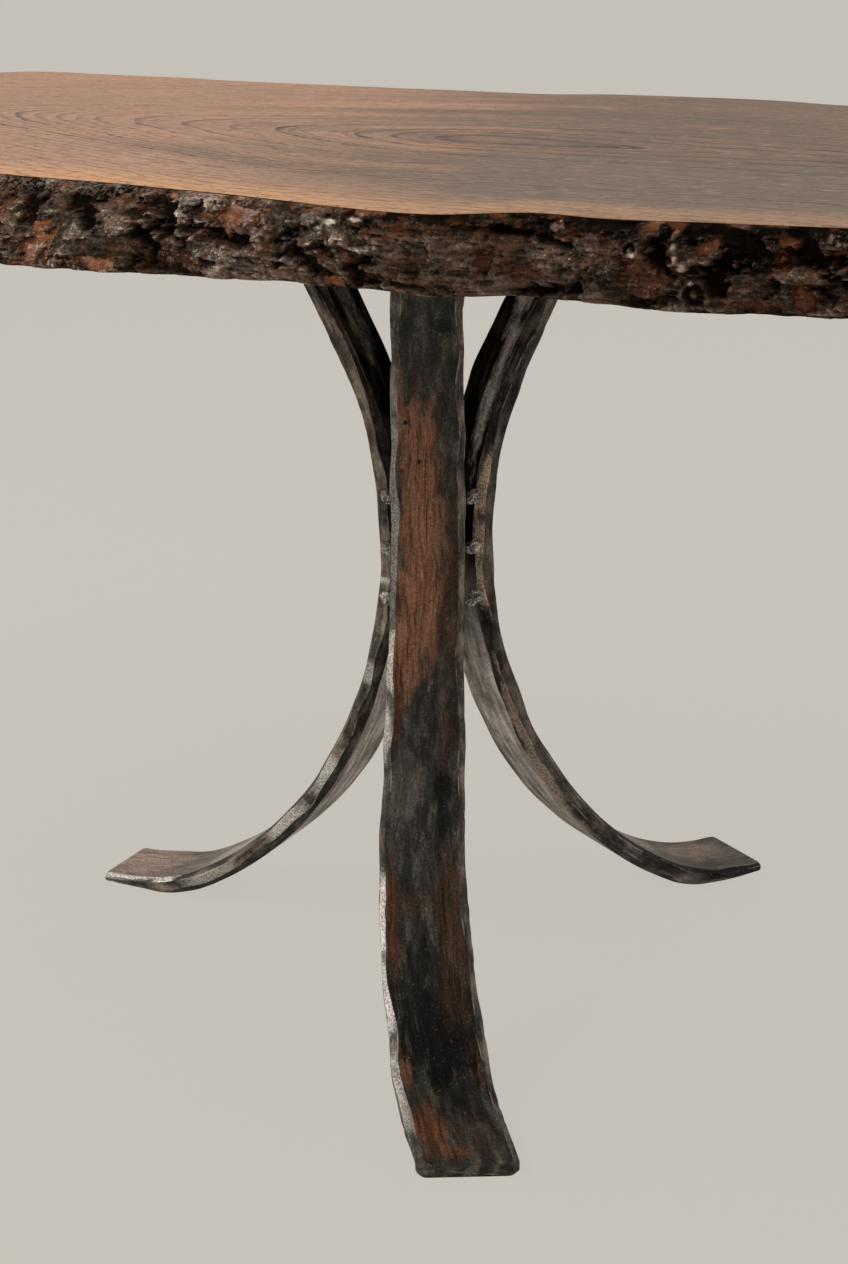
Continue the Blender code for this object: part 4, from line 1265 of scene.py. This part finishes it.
def front_features(x, depth, thickness, look, body, rises):
    """Thickness and look with the front edge's features in them, and how bare and how tan it is here."""
    share = depth / SLAB_THICKNESS
    ragged = noise.fractal(Vector((x / RAG_SIZE[0], depth / RAG_SIZE[1], RAG_SEED)), 0.7, 2.0, 3)
    bare = tone = 0.0
    for spot in SMOOTH_SPOTS:
        here = spot_share(x, share, spot, SMOOTH_PLATE.ragged * ragged)
        thickness, look = turned_into(SMOOTH_PLATE, here, thickness, look, body, rises)
    for spot in BURL_SPOTS:
        here = spot_share(x, share, spot, BURL.ragged * ragged)
        rises["ring"] = math.cos(2 * BURL_RINGS * math.pi * from_middle(x, share, spot))
        thickness, look = turned_into(BURL, here, thickness, look, body, rises)
    for gash in DEEP_GASHES:
        here = gash_share(x, share, gash, GASH.ragged * ragged)
        thickness, look = turned_into(GASH, here, thickness, look, body, rises)
    worn = BARE_THICKNESS + BARE_BODY * body + weighed(BARE_RISES, rises)
    for *spot, spot_tone, bareness in BARE_SPOTS:
        here = bareness * spot_share(x, share, spot, ragged)
        thickness += here * (worn - thickness)
        tone += here * (1 - bare) * spot_tone
        bare = max(bare, here)
    for spot in PALE_SPOTS:
        here = spot_share(x, share, spot, PALE_CRUMB.ragged * ragged)
        thickness, look = turned_into(PALE_CRUMB, here, thickness, look, body, rises)
        bare *= 1 - here
    return thickness, look, bare, tone


def bark_surface(x, depth, rear):
    """Thickness of the bark here, and its look: relief, bareness and tone, each from 0 to about 1."""
    rises = bark_rises(x, depth, rear)
    share = depth / SLAB_THICKNESS
    body = BARK_THICKNESS + BARK_RELIEF * weighed(BODY_SHARES, rises)
    body *= 1 - THIN_RIMS + THIN_RIMS * math.sin(math.pi * share)
    thickness = body * (1 - HOLLOW_DEPTH * rises["hollow"]) + weighed(LAYER_RISES, rises)
    # Hollows darken the look as painted shade, and ridges lighten it as painted light
    look = (MIDDLE_LOOK + weighed(LAYER_SWINGS, rises)) * (1 - HOLLOW_PAINTED_SHADE * rises["hollow"])
    look += RIDGE_PAINTED_LIGHT * rises["ridge"]
    look += CALM_SHARE * rises["calm"] * (CALM_LOOK - look)
    bare = tone = 0.0
    if not rear:
        thickness, look, bare, tone = front_features(x, depth, thickness, look, body, rises)
    return max(BARE_THICKNESS, thickness), (min(max(look, 0.0), 1.2), bare, min(tone, 1.0))


def make_bark(name, rear, node, material):
    """A strip along a natural edge, its sections running down outside and back up inside the wood."""
    bm = bmesh.new()
    look = bm.verts.layers.float_vector.new("bark_look")
    reach = HALF_LENGTH - CORNER_RADIUS - BARK_END_MARGIN
    way = 1 if rear else -1
    loops = []
    for x in evenly(reach, BARK_STEP):
        bottom = SLAB_THICKNESS + HEM_DROP + HEM_WANDER * ripple(x, HEM_SEED, HEM_WAVE)
        inland = smooth_step(0.0, 2 * BARK_END_MARGIN, reach - abs(x))
        taper = BARK_END_SHARE + (1 - BARK_END_SHARE) * inland
        loop = []
        for k in range(BARK_ROWS + 1):
            depth = BARK_TOP_GAP + (bottom - BARK_TOP_GAP) * k / BARK_ROWS
            thickness, shown = bark_surface(x, depth, rear)
            rim = min(max(min(depth - BARK_TOP_GAP, bottom - depth) / BARK_RIM, 0.0), 1.0)
            rounded = math.sqrt(1 - (1 - rim) ** 2)
            out = edge_lean(x, min(depth, SLAB_THICKNESS), rear)
            out += taper * thickness * (BARK_RIM_SHARE + (1 - BARK_RIM_SHARE) * rounded)
            vert = bm.verts.new((x, edge_y(x, rear) + way * out, TABLE_HEIGHT - depth))
            vert[look] = shown
            loop.append(vert)
        for depth in (bottom, BARK_TOP_GAP):
            inside = edge_lean(x, min(depth, SLAB_THICKNESS), rear) - EDGE_SOFTENING
            loop.append(bm.verts.new((x, edge_y(x, rear) + way * inside, TABLE_HEIGHT - depth)))
        loops.append(loop)
    skin(bm, loops)
    cap_ends(bm, loops)
    add_piece(name, bm, [material], node, BARK_SHARP)


# Forged bars

def bend(start, end, turn_radius):
    return abs(end - start) * turn_radius, start, end


def walk(stretches, step):
    """Places along stretches of (length, lean at start, lean at end): distance, out, along, lean."""
    places = [(0.0, 0.0, 0.0, stretches[0][1])]
    base, out, along = 0.0, 0.0, 0.0
    for length, start, end in stretches:
        count = max(1, round(length / step))
        for k in range(1, count + 1):
            lean = start + (end - start) * k / count
            run = length * k / count
            if end == start:
                ahead, sideways = run * math.cos(start), run * math.sin(start)
            else:
                radius = length / (end - start)
                ahead = radius * (math.sin(lean) - math.sin(start))
                sideways = radius * (math.cos(start) - math.cos(lean))
            places.append((base + run, out + sideways, along + ahead, lean))
        base, out, along = places[-1][0], places[-1][1], places[-1][2]
    return places


def bar_places(leg):
    """Places from the pad's end to the toe: distance below the waist, radius, height, and face normal.

    The normal is given outward and upward.
    """
    flat = math.pi / 2
    rise = PAD_TOP - BAR_THICKNESS / 2 - WAIST_HEIGHT
    rise -= TOP_STRAIGHT * math.cos(TOP_SLOPE) + PAD_BEND_RADIUS * (1 - math.sin(TOP_SLOPE))
    drop = WAIST_HEIGHT - BAR_THICKNESS / 2 - TOE_BEND_RADIUS * (1 - math.sin(FOOT_SLOPE))
    up = walk([
        bend(0.0, TOP_SLOPE, rise / math.sin(TOP_SLOPE)),
        (TOP_STRAIGHT, TOP_SLOPE, TOP_SLOPE),
        bend(TOP_SLOPE, flat, PAD_BEND_RADIUS),
        (PAD_LENGTH, flat, flat),
    ], BAR_STEP)
    down = walk([
        bend(0.0, FOOT_SLOPE, drop / math.sin(FOOT_SLOPE)),
        bend(FOOT_SLOPE, flat, TOE_BEND_RADIUS),
        (leg["foot"] - TOE_ROUNDING, flat, flat),
        (TOE_ROUNDING, flat, flat),
    ], BAR_STEP)
    toe, reach = down.pop()[:2]
    for left in TOE_ROWS:
        back = left * TOE_ROUNDING
        down.append((toe - back, reach - back, down[-1][2], flat))
    places = [
        (-s, WAIST_RADIUS + out, WAIST_HEIGHT + along, math.cos(lean), -math.sin(lean))
        for s, out, along, lean in reversed(up)
    ]
    places += [
        (s, WAIST_RADIUS + out, WAIST_HEIGHT - along, math.cos(lean), math.sin(lean))
        for s, out, along, lean in down[1:]
    ]
    return places


def bar_corners(leg, along, drawn, inset):
    """Corners of the bar's section as (across, outward), drawn in by inset at the toe's rounded end."""
    seed = leg["seed"]
    half = smooth_through(leg["widths"], along) / 2 - inset
    left = half + HAMMER_DEPTH * ripple(along, seed, HAMMER_PITCH)
    right = half + HAMMER_DEPTH * ripple(along, seed + 31.0, HAMMER_PITCH)
    bevel_left = EDGE_BEVEL * (1 + BEVEL_WANDER * ripple(along, seed + 57.0, BEVEL_PITCH))
    bevel_right = EDGE_BEVEL * (1 + BEVEL_WANDER * ripple(along, seed + 83.0, BEVEL_PITCH))
    thickness = BAR_THICKNESS - drawn * (BAR_THICKNESS - leg["toe"])
    inner = INNER_BEVEL * (thickness / BAR_THICKNESS)**2
    inner_left = inner * (1 + BEVEL_WANDER * ripple(along, seed + 97.0, HAMMER_PITCH))
    inner_right = inner * (1 + BEVEL_WANDER * ripple(along, seed + 113.0, HAMMER_PITCH))
    back = -BAR_THICKNESS / 2
    face = back + thickness - TOE_DROP * inset
    return [Vector(corner) for corner in (
        (-left, back + inner_left), (-left + inner_left, back),
        (right - inner_right, back), (right, back + inner_right),
        (right, face - BEVEL_SLOPE * bevel_right), (right - bevel_right, face),
        (-left + bevel_left, face), (-left, face - BEVEL_SLOPE * bevel_left),
    )]


def bar_outline(corners):
    """Points round the section, each with its side's number and distance from an arris.

    The arrises are slightly rounded.
    """
    middle = sum(corners, Vector((0.0, 0.0))) / len(corners)
    points = []
    for side, count in enumerate(BAR_POINTS):
        start, end = corners[side], corners[(side + 1) % len(corners)]
        run = end - start
        lip = min(BAR_ROUNDING / max(run.length, BAR_ROUNDING), LIP_LIMIT)
        eased = start + (middle - start).normalized() * BAR_EASING * BAR_ROUNDING
        shares = [lip + (1 - 2 * lip) * k / (count + 1) for k in range(count + 2)]
        points.append((eased, side, 0.0))
        points += [(start + run * share, side, run.length * min(share, 1 - share)) for share in shares]
    return points


def make_bar(name, materials):
    leg = LEGS[name]
    angle = math.radians(leg["direction"])
    outward = Vector((math.cos(angle), math.sin(angle), 0.0))
    across = Vector((-outward.y, outward.x, 0.0))
    up = Vector((0.0, 0.0, 1.0))
    axis = Vector((0.0, TRIPOD_Y, 0.0))
    places = bar_places(leg)
    toe = places[-1][0]
    bm = bmesh.new()
    bar_place = bm.verts.layers.float_vector.new("bar_place")
    to_arris = bm.verts.layers.float.new("to_arris")
    loops = []
    for along, radius, height, normal_out, normal_up in places:
        drawn = smooth_step(toe - TOE_DRAWN_LENGTH, toe, along)
        short = max(0.0, TOE_ROUNDING - (toe - along))
        inset = TOE_ROUNDING - math.sqrt(TOE_ROUNDING**2 - short**2)
        normal = outward * normal_out + up * normal_up
        centre = axis + outward * radius + up * height + across * smooth_through(leg["sways"], along)
        outline = bar_outline(bar_corners(leg, along, drawn, inset))
        loop = []
        for point, side, edge in outline:
            spot = Vector((point.x, along, point.y))
            flat_side = SIDE_SLOTS[side] in (FACE_SLOT, BACK_SLOT)
            size, depth = (DENT_SIZE, DENT_DEPTH) if flat_side else (SCALLOP_SIZE, SCALLOP_DEPTH)
            dent = depth * noise.noise(spot / size + Vector((leg["seed"], 0.0, 0.0)))
            pushed = point + point.normalized() * min(dent, 0.0) * 2
            vert = bm.verts.new(centre + across * pushed.x + normal * pushed.y)
            vert[bar_place] = spot
            vert[to_arris] = edge
            loop.append(vert)
        loops.append(loop)
    skin(bm, loops, [SIDE_SLOTS[side] for _, side, _ in outline])
    cap_ends(bm, loops, SIDE_SLOT)
    add_piece(f"forged_{name}", bm, materials, name, BAR_SHARP)


# Welds and fixings

def make_weld(node, direction, seed, material):
    """A nugget of weld metal with its ripples, where the CAD has it."""
    points = [vert.co.copy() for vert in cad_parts[node].data.vertices]
    outward = Vector((math.cos(math.radians(direction)), math.sin(math.radians(direction)), 0.0))
    axes = (Vector((-outward.y, outward.x, 0.0)), outward, Vector((0.0, 0.0, 1.0)))
    spans = [(min(p.dot(axis) for p in points), max(p.dot(axis) for p in points)) for axis in axes]
    middle = sum((axis * (low + high) / 2 for axis, (low, high) in zip(axes, spans)), Vector())
    half = [share * (high - low) / 2 for share, (low, high) in zip(WELD_SPREAD, spans)]
    bm = bmesh.new()
    bmesh.ops.create_icosphere(bm, subdivisions=WELD_ROUNDS, radius=1.0)
    for vert in bm.verts:
        way = vert.co.copy()
        lump = WELD_LUMP[0] * noise.fractal(WELD_LUMP[1] * way + Vector((seed, 0.0, 0.0)), 0.7, 2.0, 4)
        crumb_place = WELD_CRUMB[1] * way + Vector((seed, 4.0, 0.0))
        crumb = WELD_CRUMB[0] * noise.fractal(crumb_place, 0.6, 2.0, 3)
        grown = way * (WELD_BODY + lump + crumb)
        vert.co = middle + sum((axis * grown[i] * half[i] for i, axis in enumerate(axes)), Vector())
    add_piece(f"{node}_nugget", bm, [material], node)


def make_bolt(node, material):
    """A hexagon bolt with a chamfered head, on the CAD bolt's place."""
    low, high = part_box(node)
    middle = (low + high) / 2
    flat = BOLT_HEAD_ACROSS / 2
    crown = CROWN_SHARE * flat
    dimple, dimple_rim = (share * crown for share in DIMPLE_SHARES)
    turns = [2 * math.pi * k / ROUND_POINTS for k in range(ROUND_POINTS)]

    def hexagon(angle):
        return flat / math.cos((angle + math.pi / 6) % (math.pi / 3) - math.pi / 6)

    def ring(radii, heights):
        return [bm.verts.new((middle.x + r * math.cos(a), middle.y + r * math.sin(a), low.z + h))
                for a, r, h in zip(turns, radii, heights)]

    def circle(radius, height):
        return ring([radius] * ROUND_POINTS, [height] * ROUND_POINTS)

    bm = bmesh.new()
    hexes = [hexagon(a) for a in turns]
    loops = [
        circle(dimple, DIMPLE_DEPTH),
        circle(dimple_rim, 0.0),
        circle(crown, 0.0),
        ring(hexes, [(r - crown) * math.tan(HEAD_CHAMFER) for r in hexes]),
        ring(hexes, [BOLT_HEAD_HEIGHT] * ROUND_POINTS),
        circle(BOLT_DIAMETER / 2, BOLT_HEAD_HEIGHT),
        circle(BOLT_DIAMETER / 2, high.z - low.z),
    ]
    skin(bm, loops)
    cap_ends(bm, loops)
    add_piece(f"{node}_hexagon", bm, [material], node, BOLT_SHARP)


# Stage

def make_floor():
    """A wide pale floor. The camera sees the backdrop's colour on it, with the table's shadow."""
    bm = bmesh.new()
    bmesh.ops.create_grid(bm, x_segments=1, y_segments=1, size=FLOOR_REACH)
    mesh = bpy.data.meshes.new("studio_floor")
    bm.to_mesh(mesh)
    bm.free()
    floor = bpy.data.objects.new("studio_floor", mesh)
    bpy.context.scene.collection.objects.link(floor)
    material, shade = new_material("pale_floor")
    mottled = shade.noise(shade.places(), 3.0, 2.0)
    pale = shade.mix(mottled, srgb(196, 191, 183), srgb(202, 197, 189))
    mesh.materials.append(finished(material, shade, Base_Color=pale, Roughness=0.9, Specular_IOR_Level=0.0))
    plain = shade.node("ShaderNodeEmission", Color=BACKDROP, Strength=FLOOR_GLOW)
    seen = shade.times(direct_rays(shade), FLOOR_SEEN)
    show_both(shade, seen, "Principled BSDF", plain, "Material Output")


def show_both(shade, factor, first, second, output):
    """Mixes a tree's own shader with a second one."""
    nodes = shade.tree.nodes
    both = shade.node("ShaderNodeMixShader", Fac=factor)
    shade.feed(both.inputs[1], nodes[first].outputs[0])
    shade.feed(both.inputs[2], second.outputs[0])
    shade.feed(nodes[output].inputs["Surface"], both.outputs[0])


def direct_rays(shade):
    """1 for rays from the camera, and those that metal and gloss send back."""
    path = shade.node("ShaderNodeLightPath").outputs
    mirrored = shade.math("MAXIMUM", path["Is Glossy Ray"], path["Is Transmission Ray"])
    return shade.math("MAXIMUM", path["Is Camera Ray"], mirrored)


def make_world():
    world = bpy.data.worlds.new("studio")
    world.use_nodes = True
    bpy.context.scene.world = world
    shade = Shading(world.node_tree)
    around = world.node_tree.nodes["Background"]
    shade.feed_all(around.inputs, {"Color": ROOM_LIGHT, "Strength": ROOM_STRENGTH})
    backdrop = shade.node("ShaderNodeBackground", Color=BACKDROP, Strength=1.0)
    show_both(shade, direct_rays(shade), "Background", backdrop, "World Output")


def make_softbox(name, place, aim, size, power):
    light = bpy.data.lights.new(name, "AREA")
    light.shape = "RECTANGLE"
    light.size, light.size_y = size
    light.energy = power
    lamp = bpy.data.objects.new(name, light)
    lamp.location = place
    lamp.rotation_euler = (Vector(aim) - Vector(place)).to_track_quat("-Z", "Y").to_euler()
    bpy.context.scene.collection.objects.link(lamp)


def make_camera():
    right, above, ahead = camera_axes()
    data = bpy.data.cameras.new("photo_camera")
    data.sensor_fit = "VERTICAL"
    data.sensor_height = SENSOR_HEIGHT
    data.lens = SENSOR_HEIGHT * FOCAL_PIXELS / PHOTO_HEIGHT
    data.clip_end = CLIP_END
    camera = bpy.data.objects.new("photo_camera", data)
    turned = Matrix((right, above, -ahead)).transposed().to_4x4()
    camera.matrix_world = Matrix.Translation(CAMERA_PLACE + Vector((0.0, TRIPOD_Y, 0.0))) @ turned
    bpy.context.scene.collection.objects.link(camera)
    bpy.context.scene.camera = camera


# The whole table

def make_table():
    make_slab(oiled_walnut())
    bark = sealed_bark()
    make_bark("front_bark_strip", False, "front_bark", bark)
    make_bark("rear_bark_strip", True, "rear_bark", bark)

    make_bar("front_leg", [
        forged_face("front_face", FRONT_STAINS, greys(COOL, 18, 54, 108)),
        worked_steel("front_bevel", greys(WARM, 40, 78, 140), 0.34, FRONT_GLINTS),
        worked_steel("front_side", greys(WARM, 38, 66, 110), 0.42),
        worked_steel("front_inner_bevel", greys(WARM, 30, 50, 96), 0.42),
        brushed_back("front_back"),
    ])
    make_bar("right_leg", [
        forged_face("right_face", RIGHT_STAINS, greys(WARM, 40, 82, 140)),
        worked_steel("right_bevel", greys(WARM, 20, 34, 70), 0.42),
        worked_steel("right_side", greys(WARM, 40, 84, 128), 0.42, stains=RIGHT_SIDE_STAINS),
        worked_steel("right_inner_bevel", greys(WARM, 30, 54, 116), 0.40, INNER_GLINTS, RUSTY_TAN),
        brushed_back("right_back", BACK_GLINTS),
    ])
    make_bar("left_leg", [
        forged_face("left_face", LEFT_STAINS, greys(WARM, 64, 118, 180)),
        worked_steel("left_bevel", greys(WARM, 40, 68, 120), 0.36, FOOT_GLINTS),
        worked_steel("left_side", greys(WARM, 46, 108, 176), 0.38, LEFT_SIDE_GLINTS,
                     stains=LEFT_SIDE_STAINS),
        worked_steel("left_inner_bevel", greys(WARM, 30, 52, 110), 0.42),
        brushed_back("left_back", LEFT_BACK_GLINTS),
    ])

    weld_metal = spattered_weld()
    for seam, direction in SEAM_DIRECTION.items():
        for k, label in enumerate(WELD_LABELS):
            make_weld(f"{seam}_weld_{label}", direction, direction + WELD_SEED_STEP * k, weld_metal)

    zinc = plated_metal("zinc_plate", srgb(198, 200, 202), srgb(150, 152, 152), 0.26)
    brass = plated_metal("turned_brass", srgb(206, 176, 104), srgb(164, 132, 70), 0.28)
    for leg in ("front", "right", "left"):
        for end in ("inner", "outer"):
            make_bolt(f"{leg}_{end}_bolt", zinc)
            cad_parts[f"{leg}_{end}_washer"].data.materials[0] = zinc
            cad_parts[f"{leg}_{end}_insert"].data.materials[0] = brass


make_table()
make_floor()
make_world()
for softbox, facts in SOFTBOXES.items():
    make_softbox(softbox, *facts)
make_camera()
bpy.context.scene.view_settings.view_transform = "Standard"
